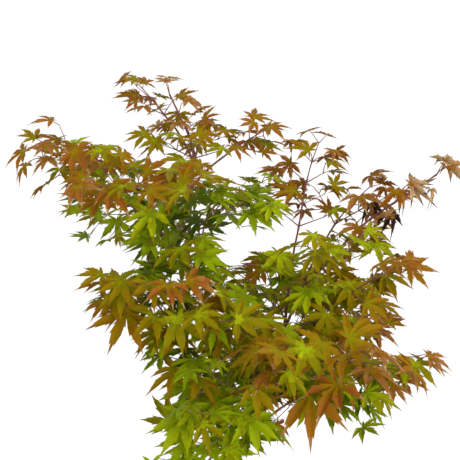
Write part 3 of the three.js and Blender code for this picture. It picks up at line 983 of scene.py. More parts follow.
@dataclass
class Spray:
    """A limb's foliage as it grows: level direction outwards, streams of numbers for the spray and for its
    finest twigs, twigs with the spray's own stem first, and leaves.
    """

    limb: Limb
    outward: Array
    draw: Seeded
    finest: Seeded
    twigs: list[Twig]
    leaves: list[Leaf] = field(default_factory=list)


@dataclass(frozen=True)
class GrowthRule:
    """How a spray grows: its joints, and the ranges that its bends, twigs and leaves are drawn from."""

    joint_spacing: float = 40.0
    fewest_joints: int = 3
    spray_radii: Range = (1.7, 0.75)
    leader_tip: float = 1.3
    twig_radii: Range = (1.1, 0.6)
    twig_shortening: float = 0.55
    twig_shortest: float = 12.0
    leaf_length: float = 64.0
    stalk_share: float = 0.62
    tip_close: float = 1.7
    pair_turn: float = 75.0
    low_leaf_size: float = 1.14
    high_leaf_shrink: float = 0.34
    tip_leaf_shrink: float = 0.25
    leaf_outward: float = 0.2
    least_pitch: float = 6.0
    low_leaf_pitch: float = 30.0
    leaf_size: Range = (0.82, 1.18)
    stalk_ahead: Range = (0.35, 0.75)
    stalk_lift: Range = (0.0, 0.45)
    stalk_length: Range = (0.7, 1.25)
    leaf_turn: Range = (-16.0, 16.0)
    leaf_pitch: Range = (-16.0, 20.0)
    leaf_roll: Range = (-18.0, 18.0)
    spray_roll: Range = (-20.0, 20.0)
    spray_bend: Range = (-9.0, 5.0)
    spray_turn: Range = (-9.0, 9.0)
    joint_roll: Range = (-14.0, 14.0)
    twig_length: Range = (0.75, 1.15)
    twig_ahead: Range = (0.45, 0.85)
    twig_lift: Range = (-0.15, 0.3)
    twig_bend: Range = (-8.0, 6.0)
    twig_roll: Range = (-30.0, 30.0)
    finest_seeds: int = 5000
    finest_every: int = 2
    finest_length: Range = (20.0, 42.0)
    finest_turn: Range = (50.0, 130.0)
    finest_radii: Range = (0.8, 0.5)
    finest_leaf: float = 0.74
    slim_spread: float = 0.2

    def add_pair(self, spray: Spray, joint: Joint, draw: Seeded, is_tip: bool, fine: bool,
                 scale: float = 1.0) -> None:
        """Grows a pair of leaves, one on each side of a joint.

        Low leaves are larger and hang more, tip leaves are smaller, and a tip's pair closes in on its twig.

        Args:
            spray: The spray that gets the leaves.
            joint: Where their stalks leave the twig.
            draw: The stream of numbers that shapes them.
            is_tip: Whether the joint is its twig's last.
            fine: Whether they are finer leaves, which the solids leave out.
            scale: Their size beside that of other leaves.
        """
        high = height_share(joint.place[2])
        grown = (1 - self.tip_leaf_shrink * joint.age) * (self.low_leaf_size - self.high_leaf_shrink * high)
        along = joint.along * (self.tip_close if is_tip else 1.0)
        for hand in HANDS:
            size = self.leaf_length * draw.within(self.leaf_size) * grown * scale
            ahead = draw.within(self.stalk_ahead)
            stalk = unit(along * ahead + joint.side * hand + UP * draw.within(self.stalk_lift))
            base = joint.place + stalk * size * self.stalk_share * draw.within(self.stalk_length)
            level = unit(stalk * LEVEL + spray.outward * self.leaf_outward)
            flat = turned(level, UP, draw.within(self.leaf_turn))
            pitch = self.least_pitch + self.low_leaf_pitch * (1 - high) + draw.within(self.leaf_pitch)
            across = np.cross(UP, flat)
            out = turned(flat, across, pitch)
            normal = turned(unit(np.cross(out, across)), out, draw.within(self.leaf_roll))
            ways = out, np.cross(normal, out), normal
            spray.leaves.append(Leaf(spray.limb, joint.place, base, *ways, size, joint.age, fine, joint.twig))

    def add_finest_twig(self, spray: Spray, joint: Joint) -> None:
        """Grows a short last twig out of the plane of a joint's leaves, with two small leaves on its tip.

        Args:
            spray: The spray that gets the twig.
            joint: The joint that it leaves.
        """
        draw = spray.finest
        ahead = joint.along * draw.within(self.twig_ahead)
        way = unit(ahead + turned(joint.side, joint.along, draw.within(self.finest_turn)))
        tip = joint.place + way * draw.within(self.finest_length)
        last = Joint(tip, way, left_of(way), joint.age, len(spray.twigs))
        self.add_pair(spray, last, draw, is_tip=True, fine=True, scale=self.finest_leaf)
        spray.twigs.append(Twig(*self.finest_radii, [joint.place, (joint.place + tip) / 2, tip]))

    def add_side_twig(self, spray: Spray, root: Joint, way: Array, length: float) -> None:
        """Grows a side twig with a pair of leaves at each joint.

        Finest twigs leave it at every joint on the side away from the viewer, elsewhere at every second.

        Args:
            spray: The spray that gets the twig.
            root: The joint of the spray's stem that it leaves.
            way: Its first direction.
            length: Its length.
        """
        count = max(1, whole(length / self.joint_spacing))
        number = len(spray.twigs)
        twig = Twig(*self.twig_radii, [root.place])
        spray.twigs.append(twig)
        often = 1 if 0 < spray.limb.bearing < 180 else self.finest_every
        along = way
        for step in range(1, count + 1):
            along = turned(along, left_of(along), spray.draw.within(self.twig_bend))
            twig.joints.append(twig.joints[-1] + along * length / count)
            side = turned(left_of(along), along, spray.draw.within(self.twig_roll))
            joint = Joint(twig.joints[-1], along, side, root.age + (1 - root.age) * step / count, number)
            self.add_pair(spray, joint, spray.draw, is_tip=step == count, fine=step < count)
            if step < count and step % often == 0 and spray.limb.kind is not LimbKind.INNER:
                self.add_finest_twig(spray, joint)

    def spray(self, limb: Limb) -> Spray:
        """Grows a limb's spray: one stem that wanders, a pair of side twigs at each odd joint, and a pair of
        leaves at each even one, turned out of the side twigs' plane, and on its tip.

        Args:
            limb: The limb.

        Returns:
            Its spray.
        """
        start, direction, reach = limb.spray_start()
        radii = (limb.stem.thin, self.leader_tip) if limb.kind is LimbKind.LEADER else self.spray_radii
        stem = Twig(*radii, [start])
        draw, finest = Seeded(limb.seed), Seeded(limb.seed + self.finest_seeds)
        spray = Spray(limb, unit(direction * LEVEL), draw, finest, [stem])
        count = max(self.fewest_joints, whole(reach / self.joint_spacing))
        roll = draw.within(self.spray_roll)
        along = direction
        for step in range(1, count + 1):
            along = turned(along, left_of(along), draw.within(self.spray_bend))
            along = turned(along, UP, draw.within(self.spray_turn))
            stem.joints.append(stem.joints[-1] + along * reach / count)
            side = turned(left_of(along), along, roll + draw.within(self.joint_roll))
            joint = Joint(stem.joints[-1], along, side, step / count, 0)
            if step == count:
                self.add_pair(spray, joint, draw, is_tip=True, fine=False)
            elif step % 2 == 0:
                joint = replace(joint, side=turned(side, along, self.pair_turn))
                self.add_pair(spray, joint, draw, is_tip=False, fine=False)
                if limb.kind is LimbKind.BOUGH and limb.spread <= self.slim_spread:
                    for hand in reversed(HANDS):
                        self.add_finest_twig(spray, replace(joint, side=joint.side * hand))
            else:
                for hand in HANDS:
                    full = limb.spread * reach * (1 - self.twig_shortening * joint.age) + self.twig_shortest
                    length = full * draw.within(self.twig_length)
                    ahead = draw.within(self.twig_ahead)
                    way = unit(along * ahead + side * hand + UP * draw.within(self.twig_lift))
                    self.add_side_twig(spray, joint, way, length)
        return spray


# Leaf blades


@dataclass(frozen=True)
class Lobe:
    """A lobe of a leaf: angle from the middle one in degrees, length and half width as shares of the leaf."""

    angle: float
    length: float
    width: float
    stations: tuple[float, ...] = (0.34, 0.54, 0.74)
    toothed: bool = True


@dataclass
class LeafPattern:
    """The outline that every leaf shares: a palm, seven lobes with a fold along each, and notches between."""

    lobes: tuple[Lobe, ...] = (
        Lobe(-126, 0.38, 0.062, stations=(0.6,), toothed=False),
        Lobe(-84, 0.76, 0.126),
        Lobe(-41, 0.96, 0.15),
        Lobe(0, 1.04, 0.155),
        Lobe(41, 0.96, 0.15),
        Lobe(84, 0.76, 0.126),
        Lobe(126, 0.38, 0.062, stations=(0.6,), toothed=False),
    )
    notch: float = 0.16
    shoulder_angle: float = 158.0
    shoulder_length: float = 0.07
    rib_start: float = 0.18
    widest: float = 0.47
    waist: float = 0.1
    point_sharpness: float = 1.6
    tooth_ahead: float = 0.045
    tooth_width: float = 1.1
    sinus_width: float = 0.84

    def __post_init__(self) -> None:
        """Lays the pattern's points and faces out once."""
        self.lobe_of: list[int] = []
        self.distance: list[float] = []
        self.aside: list[float] = []
        self.faces: list[list[int]] = []
        self.corners: list[Range] = []
        self.zones: list[Zone] = []
        last = len(self.lobes) - 1
        self.base = self.add_point(0, 0.0, 0.0)
        self.notches = [self.add_point(min(place, last), self.notch, 0.0) for place in range(last + 2)]
        for place in range(last + 1):
            self.add_lobe(place)

    def add_point(self, lobe: int, distance: float, aside: float) -> int:
        """Adds a point.

        Args:
            lobe: Number of its lobe.
            distance: Its share of the way along the lobe.
            aside: Its offset across the lobe.

        Returns:
            The point's number.
        """
        self.lobe_of.append(lobe)
        self.distance.append(distance)
        self.aside.append(aside)
        return len(self.lobe_of) - 1

    def add_face(self, zone: Zone, *corners: Corner) -> None:
        """Adds a face.

        Args:
            zone: The part of the leaf that it belongs to.
            corners: Its points, each with its place across and along the lobe.
        """
        self.faces.append([point for point, _, _ in corners])
        self.corners += [(across, along) for _, across, along in corners]
        self.zones.append(zone)

    def half_width(self, share: float) -> float:
        """Share of a lobe's half width along it: swelling to its widest, then falling to a fine point."""
        swelling = min(1.0, (self.waist + share) / (self.waist + self.widest))
        return min(swelling, ((1 - share) / (1 - self.widest)) ** self.point_sharpness)

    def add_lobe(self, place: int) -> None:
        """Adds one lobe: two faces of the palm, then pairs of faces on each side of the fold up to the tip.

        Args:
            place: The lobe's number.
        """
        lobe = self.lobes[place]
        base: Corner = (self.base, 0.5, 0.0)
        right: Corner = (self.notches[place], 0.0, self.rib_start)
        left: Corner = (self.notches[place + 1], 1.0, self.rib_start)
        rib: Corner = (self.add_point(place, self.rib_start, 0.0), 0.5, self.rib_start)
        self.add_face(Zone.PALM, base, right, rib)
        self.add_face(Zone.PALM, base, rib, left)
        zone = Zone.LOBE
        for share in lobe.stations:
            width = lobe.width * self.half_width(share)
            dent = width * self.sinus_width if lobe.toothed else width
            far_right, far_rib, far_left = ((self.add_point(place, share, aside), across, share)
                                            for aside, across in ((-dent, 0.0), (0.0, 0.5), (dent, 1.0)))
            teeth: list[Corner] = []
            if lobe.toothed:
                ahead = share + self.tooth_ahead
                out = width * self.tooth_width
                teeth = [(self.add_point(place, ahead, hand * out), max(0.0, hand), ahead) for hand in HANDS]
            self.add_face(zone, right, *teeth[:1], far_right, far_rib, rib)
            self.add_face(zone, rib, far_rib, far_left, *teeth[1:], left)
            right, rib, left = far_right, far_rib, far_left
            zone = Zone.SHOULDER
        tip: Corner = (self.add_point(place, 1.0, 0.0), 0.5, 1.0)
        self.add_face(Zone.TIP, right, tip, rib)
        self.add_face(Zone.TIP, rib, tip, left)

    def flat_points(self, turn: Array, stretch: Array, ragged: Array) -> tuple[Array, Array]:
        """The pattern's points in each leaf's own plane.

        A lobe's point = distance x length (cos a, sin a) + aside (-sin a, cos a), with a the lobe's angle; a
        notch lies at the mean angle of its two lobes.

        Args:
            turn: Degrees that each lobe of each leaf is turned, leaves by lobes.
            stretch: How much longer each lobe is, leaves by lobes.
            ragged: How much further out each edge point is, leaves by points.

        Returns:
            Forward and sideways places, leaves by points by two, and distances from the base.
        """
        angles = np.radians([lobe.angle for lobe in self.lobes] + turn)
        lengths = np.array([lobe.length for lobe in self.lobes]) * stretch
        ends = np.full((len(turn), 1), math.radians(self.shoulder_angle))
        angle = angles[:, self.lobe_of]
        angle[:, self.notches] = np.concatenate([-ends, (angles[:, 1:] + angles[:, :-1]) / 2, ends], axis=1)
        reach = np.array(self.distance) * lengths[:, self.lobe_of]
        reach[:, self.notches] = self.notch
        reach[:, [self.notches[0], self.notches[-1]]] = self.shoulder_length
        aside = np.array(self.aside) * ragged
        forward = reach * np.cos(angle) - aside * np.sin(angle)
        sideways = reach * np.sin(angle) + aside * np.cos(angle)
        return np.stack([forward, sideways], -1), reach


@dataclass(frozen=True)
class BladeShape:
    """How leaves differ from one another.

    Droop and fold hold the least amount, what ripeness adds and what dryness adds. The rest are the ranges
    that each leaf, lobe or edge point is drawn from.
    """

    droop: Triple = (0.02, 0.1, 0.9)
    droop_more: Range = (0.0, 0.14)
    fold: Triple = (0.32, 0.3, 1.2)
    fold_more: Range = (-0.15, 0.3)
    lobe_turn: float = 4.5
    lobe_stretch: Range = (0.86, 1.06)
    lobe_droop: Range = (-0.2, 1.9)
    ragged: Range = (0.84, 1.14)
    notch_rise: float = 0.3

    def points(self, pattern: LeafPattern, leaves: list[Leaf], ripe: Array, dry: Array,
               chance: Chance) -> Array:
        """Every leaf's points in space.

        In a leaf's own frame, height = fold x offset across the lobe - droop x distance squared.

        Args:
            pattern: The shared outline.
            leaves: The leaves.
            ripe: Their ripeness.
            dry: Their dryness.
            chance: Source of the differences.

        Returns:
            Leaves by points by three.
        """
        count, lobes = len(leaves), len(pattern.lobes)
        least, riper, drier = self.droop
        droop = least + riper * ripe + drier * dry + chance.uniform(*self.droop_more, count)
        least, riper, drier = self.fold
        fold = least + riper * ripe + drier * dry + chance.uniform(*self.fold_more, count)
        turn = chance.normal(0, self.lobe_turn, (count, lobes))
        stretch = chance.uniform(*self.lobe_stretch, (count, lobes))
        sag = droop[:, None] * chance.uniform(*self.lobe_droop, (count, lobes))[:, pattern.lobe_of]
        ragged = chance.uniform(*self.ragged, (count, len(pattern.lobe_of)))
        flat, reach = pattern.flat_points(turn, stretch, ragged)
        rise = np.abs(pattern.aside)
        rise[pattern.notches[1:-1]] = pattern.notch * self.notch_rise
        height = fold[:, None] * rise - sag * reach**2
        size = np.array([leaf.size for leaf in leaves])[:, None, None]
        base, out, wide, normal = (np.array([getattr(leaf, part) for leaf in leaves])[:, None]
                                   for part in ("base", "out", "wide", "normal"))
        return base + size * (flat[..., :1] * out + flat[..., 1:] * wide + height[..., None] * normal)


@dataclass(frozen=True)
class Turning:
    """How leaves turn from green to rust, and where they have dried: what each thing adds to a leaf's
    ripeness, how ripeness becomes a tint, and how much painted shade darkens some leaves.
    """

    at_first: float = -0.03
    by_height: float = 0.18
    at_top: float = 0.44
    top_power: int = 5
    by_reach: float = 0.7
    full_reach: float = 300.0
    depth_share: float = 0.3
    by_sun: float = 0.14
    by_age: float = 0.06
    on_leader: float = 0.28
    spread: float = 0.15
    ripest: float = 0.85
    ripest_leader: float = 1.2
    steps: float = 8.0
    first_step: float = 1.0
    step_spread: float = 0.3
    zone_least: float = 0.35
    # Share of leaves, drawn at random, that get one more tint of painted shade
    painted_shade_share: float = 0.2
    dry_limb: str = "right_shoot"
    dry_twig: int = 5
    dry_age: float = 0.5
    driest: float = 1.3
    dry_loss: float = 0.6
    dried_from: float = 2.6
    dried_slope: float = 2.0

    def ripeness(self, leaf: Leaf) -> float:
        """How far a leaf has turned from green to rust: more with height, most of all at the top, with
        distance from the stem, on the sunny right side, towards a twig's tip and on the leaders.

        Args:
            leaf: The leaf.

        Returns:
            From 0 to 1, or a little beyond.
        """
        high = height_share(leaf.base[2])
        from_stem = leaf.base - leaf.limb.stem.at_height(leaf.base[2] - COMPOST_LEVEL)
        aside = math.hypot(from_stem[0], self.depth_share * from_stem[1]) / self.full_reach
        sunny = leaf.base[0] / self.full_reach
        leader = self.on_leader if leaf.limb.kind is LimbKind.LEADER else 0.0
        return float(self.by_height * high + self.at_top * high**self.top_power
                     + self.by_reach * min(aside, 1.0) + self.by_sun * sunny + self.by_age * leaf.age
                     + leader + leaf.limb.look.riper + self.at_first)

    def drawn_ripeness(self, leaves: list[Leaf], chance: Chance) -> Array:
        """Each leaf's ripeness, with a difference of its own.

        Args:
            leaves: The leaves.
            chance: Source of the differences.

        Returns:
            From 0 to the ripest.
        """
        ripe = np.array([self.ripeness(leaf) for leaf in leaves]) + chance.normal(0, self.spread, len(leaves))
        is_leader = np.array([leaf.limb.kind is LimbKind.LEADER for leaf in leaves])
        return np.clip(ripe, 0, np.where(is_leader, self.ripest_leader, self.ripest))

    def dryness(self, leaf: Leaf) -> float:
        """How dry a leaf is: only the outer leaves of the long right shoot are, the first of them most.

        Args:
            leaf: The leaf.

        Returns:
            About 1 for a dried leaf, less for one with dried tips, and 0 elsewhere.
        """
        if leaf.limb.name != self.dry_limb or 0 < leaf.twig < self.dry_twig or leaf.age < self.dry_age:
            return 0.0
        return self.driest - self.dry_loss * leaf.age

    def tints(self, leaves: list[Leaf], ripe: Array, dry: Array, zones: list[Zone],
              chance: Chance) -> Indices:
        """The tint of each part of each leaf: ripeness in steps, redder towards the tips, less its painted
        shade.

        Args:
            leaves: The leaves.
            ripe: Their ripeness.
            dry: Their dryness.
            zones: The zone of each face of a leaf.
            chance: Source of the differences.

        Returns:
            Numbers in the order of RIPENING, then the dried one, leaves by faces.
        """
        redder = np.array([zone.value for zone in zones])
        # Painted shade: the spray's steps, plus one for a random share of leaves; negative steps are painted
        # light
        painted_shade = np.array([leaf.limb.look.painted_shade for leaf in leaves])
        painted_shade += chance.random(len(leaves)) < self.painted_shade_share
        turning = np.clip(self.zone_least + ripe, 0, 1)[:, None] * redder
        own = chance.uniform(-self.step_spread, self.step_spread, turning.shape)
        steps = np.maximum(ripe[:, None] * self.steps + turning + own, 0) + self.first_step - painted_shade[:, None]
        tints = np.clip(np.floor(TINT_MIXES * steps + 0.5), 0, len(RIPENING) - 1).astype(int)
        tints[redder > self.dried_from - self.dried_slope * dry[:, None]] = len(RIPENING)
        return tints


# Room in the crown


@dataclass(frozen=True)
class Sky:
    """An opening in the crown as the viewer sees it, at the stems' depth: its middle and its half sizes."""

    across: float
    up: float
    half_width: float
    half_height: float

    def hidden(self, seen: Array, area: float) -> float:
        """Share of the opening that points hide, seen across and up, each standing for an area of blade."""
        inside = (((seen - [self.across, self.up]) / [self.half_width, self.half_height]) ** 2).sum(-1) < 1
        return float(inside.sum()) * area / (math.pi * self.half_width * self.half_height)


class Space:
    """Cells of air in a box, and whether wood or a leaf holds each."""

    def __init__(self, low: Array, high: Array, cell: float) -> None:
        """Starts with every cell of the box free.

        Args:
            low: Lowest corner, in millimetres.
            high: Highest corner.
            cell: Side of a cell.
        """
        self.low = low
        self.cell = cell
        self.taken = np.zeros(np.ceil((high - low) / cell).astype(int), dtype=bool)

    def cells(self, points: Array) -> tuple[Indices, bool]:
        """The cells that points lie in.

        Args:
            points: Rows of points.

        Returns:
            A row of three indices for each point, and whether all points lie in the box.
        """
        index = np.floor((points - self.low) / self.cell).astype(int)
        inside = bool(((index >= 0) & (index < self.taken.shape)).all())
        return np.clip(index, 0, np.array(self.taken.shape) - 1), inside

    def clash(self, points: Array) -> float:
        """The share of points that lie in taken cells, or 1 where a point is outside the box."""
        index, inside = self.cells(points)
        return float(self.taken[tuple(index.T)].mean()) if inside else 1.0

    def take(self, points: Array) -> None:
        """Takes the cells that points lie in."""
        self.taken[tuple(self.cells(points)[0].T)] = True


# Sub-assemblies


@dataclass
class Pot:
    """Round tapering nursery pot with a stepped rim band and drain holes in its floor, in millimetres."""

    height: float
    rim_radius: float
    base_radius: float = 105.0
    wall: float = 3.0
    wall_ends: Range = (0.06, 0.985)
    wall_rows: int = 14
    base_round: float = 4.0
    base_round_end: float = -10.0
    floor_round: float = 3.0
    rim_band: float = 26.0
    rim_step: float = 4.0
    rim_round: float = 1.5
    band_round: float = 1.2
    foot_rise: float = 1.6
    foot_width: float = 9.0
    foot_slope: float = 2.0
    sides: int = 128
    arc_steps: int = 5
    sharp: float = 40.0
    drain_count: int = 8
    drain_radius: float = 7.0
    drain_ring: float = 84.0
    drain_sides: int = 24
    drain_ends: Range = (-2.0, 3.0)
    finish: PlasticFinish = PlasticFinish("pot_plastic", (92, 82, 72), (112, 102, 92), (142, 126, 106), 0.12)

    @property
    def band(self) -> float:
        """Height of the step under the rim band."""
        return self.height - self.rim_band

    @property
    def top_radius(self) -> float:
        """Outside radius of the wall under the rim band."""
        return self.rim_radius - self.rim_step

    def inside(self, height: float) -> float:
        """Inside radius of the wall at a height."""
        return self.base_radius + (self.top_radius - self.base_radius) * height / self.band - self.wall

    def arc(self, centre: Range, radius: float, start: float, end: float) -> list[Range]:
        """A round stretch of the profile between two angles in degrees: centre + radius (cos a, sin a)."""
        angles = np.radians(np.linspace(start, end, self.arc_steps))
        return [(centre[0] + radius * math.cos(a), centre[1] + radius * math.sin(a)) for a in angles]

    def profile(self) -> Array:
        """The wall's section: from the underside's middle up the outside, over the rim and down the inside.

        Returns:
            Rows of radius and height.
        """
        top, inner, rounded = self.top_radius, self.top_radius - self.wall, self.rim_round
        foot = self.base_radius - self.base_round
        hollow = foot - self.foot_width
        floor = self.wall + self.floor_round
        rows = [(POLE_RADIUS, self.foot_rise), (hollow - self.foot_slope, self.foot_rise), (hollow, 0.0)]
        rows += self.arc((foot, self.base_round), self.base_round, -90, self.base_round_end)
        rows += [(self.base_radius + (top - self.base_radius) * share, self.band * share)
                 for share in np.linspace(*self.wall_ends, self.wall_rows)]
        rows += self.arc((top + self.band_round, self.band - self.band_round), self.band_round, 180, 90)
        rows += self.arc((self.rim_radius - rounded, self.band + rounded), rounded, -90, 0)
        rows += self.arc((self.rim_radius - rounded, self.height - rounded), rounded, 0, 90)
        rows += self.arc((inner + rounded, self.height - rounded), rounded, 90, 180)
        rows += [(inner, self.band), (self.inside(floor), floor)]
        rows += [(self.inside(self.wall) - self.floor_round, self.wall), (POLE_RADIUS, self.wall)]
        return np.array(rows)

    def shell(self) -> Surface:
        """The profile turned about the pot's axis: (r cos a, r sin a, z).

        Returns:
            The closed shell.
        """
        profile, angle = self.profile(), angles_round(self.sides)
        x = profile[:, :1] * np.cos(angle)
        y = profile[:, :1] * np.sin(angle)
        return Surface.ringed(np.stack([x, y, profile[:, 1:].repeat(self.sides, axis=1)], -1))

    def drains(self) -> Surface:
        """Round plugs in a ring, through the floor, that the drain holes are cut with.

        Returns:
            The plugs.
        """
        turn = angles_round(self.drain_count)
        places = np.stack([np.cos(turn), np.sin(turn), np.zeros_like(turn)], -1) * self.drain_ring
        ends = np.array(self.drain_ends)[:, None] * self.wall * UP
        radii = np.full((len(ends), 1), self.drain_radius)
        return Surface.joined([tube(place + ends, radii, self.drain_sides) for place in places])

    def build(self) -> None:
        """Makes the shell, cuts the drain holes and dresses it."""
        piece = add_piece("pot_shell", self.shell(), [self.finish.material()], ["pot"])
        cutter = add_object("drain_plugs", self.drains(), [])
        plugs = cutter.data
        cut = piece.modifiers.new("drain_holes", "BOOLEAN")
        cut.object = cutter
        cut.operation = "DIFFERENCE"
        shown = piece.evaluated_get(bpy.context.evaluated_depsgraph_get())
        mesh = bpy.data.meshes.new_from_object(shown)
        piece.modifiers.clear()
        piece.data = mesh
        shade_smooth(mesh, self.sharp)
        bpy.data.objects.remove(cutter)
        bpy.data.meshes.remove(plugs)


class Crumb(Enum):
    """Bits that lie on the compost: finish, length, width and thickness in millimetres, and number."""

    PEAT = (TwigFinish("crumb_peat", (44, 33, 25), (0.85, 1.0)), (4.0, 3.4, 2.8), 620)
    BARK_CHIP = (TwigFinish("crumb_bark_chip", (98, 70, 48), (0.75, 0.95)), (10.0, 5.0, 2.6), 210)
    FIBRE = (TwigFinish("crumb_fibre", (136, 108, 76), (0.7, 0.9)), (15.0, 2.0, 1.4), 90)
    GRIT = (TwigFinish("crumb_grit", (176, 168, 156), (0.6, 0.85)), (3.2, 2.8, 2.4), 80)

    def __init__(self, finish: TwigFinish, size: Triple, count: int) -> None:
        """Names the three values."""
        self.finish, self.size, self.count = finish, size, count


@dataclass
class Compost:
    """Compost that fills the pot, level under the trunk and lower towards the wall, with crumbs on it."""

    pot: Pot
    level: float = COMPOST_LEVEL
    sunk: float = 0.8
    edge_drop: float = 7.0
    edge_power: float = 1.4
    crown_radius: float = 45.0
    gap: float = 0.3
    lump_height: float = 0.75
    rings: int = 46
    sides: int = 128
    crumb_corner: Range = (0.6, 1.25)
    crumb_size: Range = (0.6, 1.4)
    crumb_rough: float = 0.12
    crumb_tip: float = 0.3
    crumb_lift: float = 0.3
    crumb_margin: float = 8.0
    crumb_area: Range = (0.02, 1.0)
    finish: CompostFinish = CompostFinish("compost_crumbly", (34, 25, 19), (78, 58, 42))

    @property
    def radius(self) -> float:
        """Radius of the compost's top where it meets the wall."""
        return self.pot.inside(self.level - self.edge_drop) - self.gap

    def top(self, radius: Array, angle: Array) -> Array:
        """Height of the compost's surface: a level crown that falls to the edge, with lumps of three waves.

        Lumps = sin(0.19 x + 1.1) sin(0.17 y + 0.4) + 0.6 sin(0.41 x - 0.23 y) + 0.4 sin(0.73 y + 0.52 x + 2).

        Args:
            radius: Distances from the axis.
            angle: Angles about it.

        Returns:
            Heights.
        """
        fall = np.clip((radius - self.crown_radius) / (self.radius - self.crown_radius), 0, 1)
        x, y = radius * np.cos(angle), radius * np.sin(angle)
        lumps = (np.sin(0.19 * x + 1.1) * np.sin(0.17 * y + 0.4) + 0.6 * np.sin(0.41 * x - 0.23 * y)
                 + 0.4 * np.sin(0.73 * y + 0.52 * x + 2.0))
        return self.level - self.sunk - self.edge_drop * fall**self.edge_power + self.lump_height * lumps

    def bed(self) -> Surface:
        """The closed body: the lumpy top as rings about the axis, then the side and the bottom.

        Returns:
            The surface.
        """
        reach, turn = np.linspace(POLE_RADIUS, self.radius, self.rings), -angles_round(self.sides)
        radius, angle = np.meshgrid(reach, turn, indexing="ij")
        low = self.pot.wall + self.gap
        foot = np.full((1, self.sides), self.pot.inside(low) - self.gap)
        height = np.concatenate([self.top(radius, angle), np.full((2, self.sides), low)])
        radius = np.concatenate([radius, foot, np.full((1, self.sides), POLE_RADIUS)])
        return Surface.ringed(np.stack([radius * np.cos(turn), radius * np.sin(turn), height], -1))

    def crumbs(self, chance: Chance) -> Surface:
        """Rough eight-sided bits in random turns, spread evenly over the top and half sunk in it.

        Args:
            chance: Source of their places, sizes and turns.

        Returns:
            The surface, with a finish number for each kind of crumb.
        """
        corners = np.array([[1, 0, 0], [-1, 0, 0], [0, 1, 0], [0, -1, 0], [0, 0, 1], [0, 0, -1]], dtype=float)
        facets = np.array([[0, 2, 4], [2, 1, 4], [1, 3, 4], [3, 0, 4],
                           [2, 0, 5], [1, 2, 5], [3, 1, 5], [0, 3, 5]])
        kinds = np.repeat(np.arange(len(Crumb)), [crumb.count for crumb in Crumb])
        sizes = np.array([crumb.size for crumb in Crumb])[kinds] / 2
        count = len(kinds)
        bits = corners * chance.uniform(*self.crumb_corner, (count, len(corners), 1))
        bits = bits * (sizes * chance.uniform(*self.crumb_size, (count, 1)))[:, None]
        bits += chance.normal(0, self.crumb_rough, bits.shape) * sizes[:, None]
        spin, tip = chance.uniform(0, 2 * math.pi, count), chance.normal(0, self.crumb_tip, count)
        radius = (self.radius - self.crumb_margin) * np.sqrt(chance.uniform(*self.crumb_area, count))
        angle = chance.uniform(0, 2 * math.pi, count)
        place = np.stack([radius * np.cos(angle), radius * np.sin(angle), self.top(radius, angle)], -1)
        points = spun(spun(bits, 0, 2, tip), 0, 1, spin) + place[:, None]
        points += sizes[:, None, 2:] * UP * self.crumb_lift
        faces = (facets[None] + len(corners) * np.arange(count)[:, None, None]).reshape(-1, 3)
        return Surface(points.reshape(-1, 3), faces.tolist(), np.repeat(kinds, len(facets)))

    def build(self, chance: Chance) -> None:
        """Makes the bed and its crumbs and dresses them.

        Args:
            chance: Source of the crumbs' differences.
        """
        add_piece("compost_bed", self.bed(), [self.finish.material()], ["compost"])
        finishes = [crumb.finish.material() for crumb in Crumb]
        add_piece("compost_crumbs", self.crumbs(chance), finishes, [])


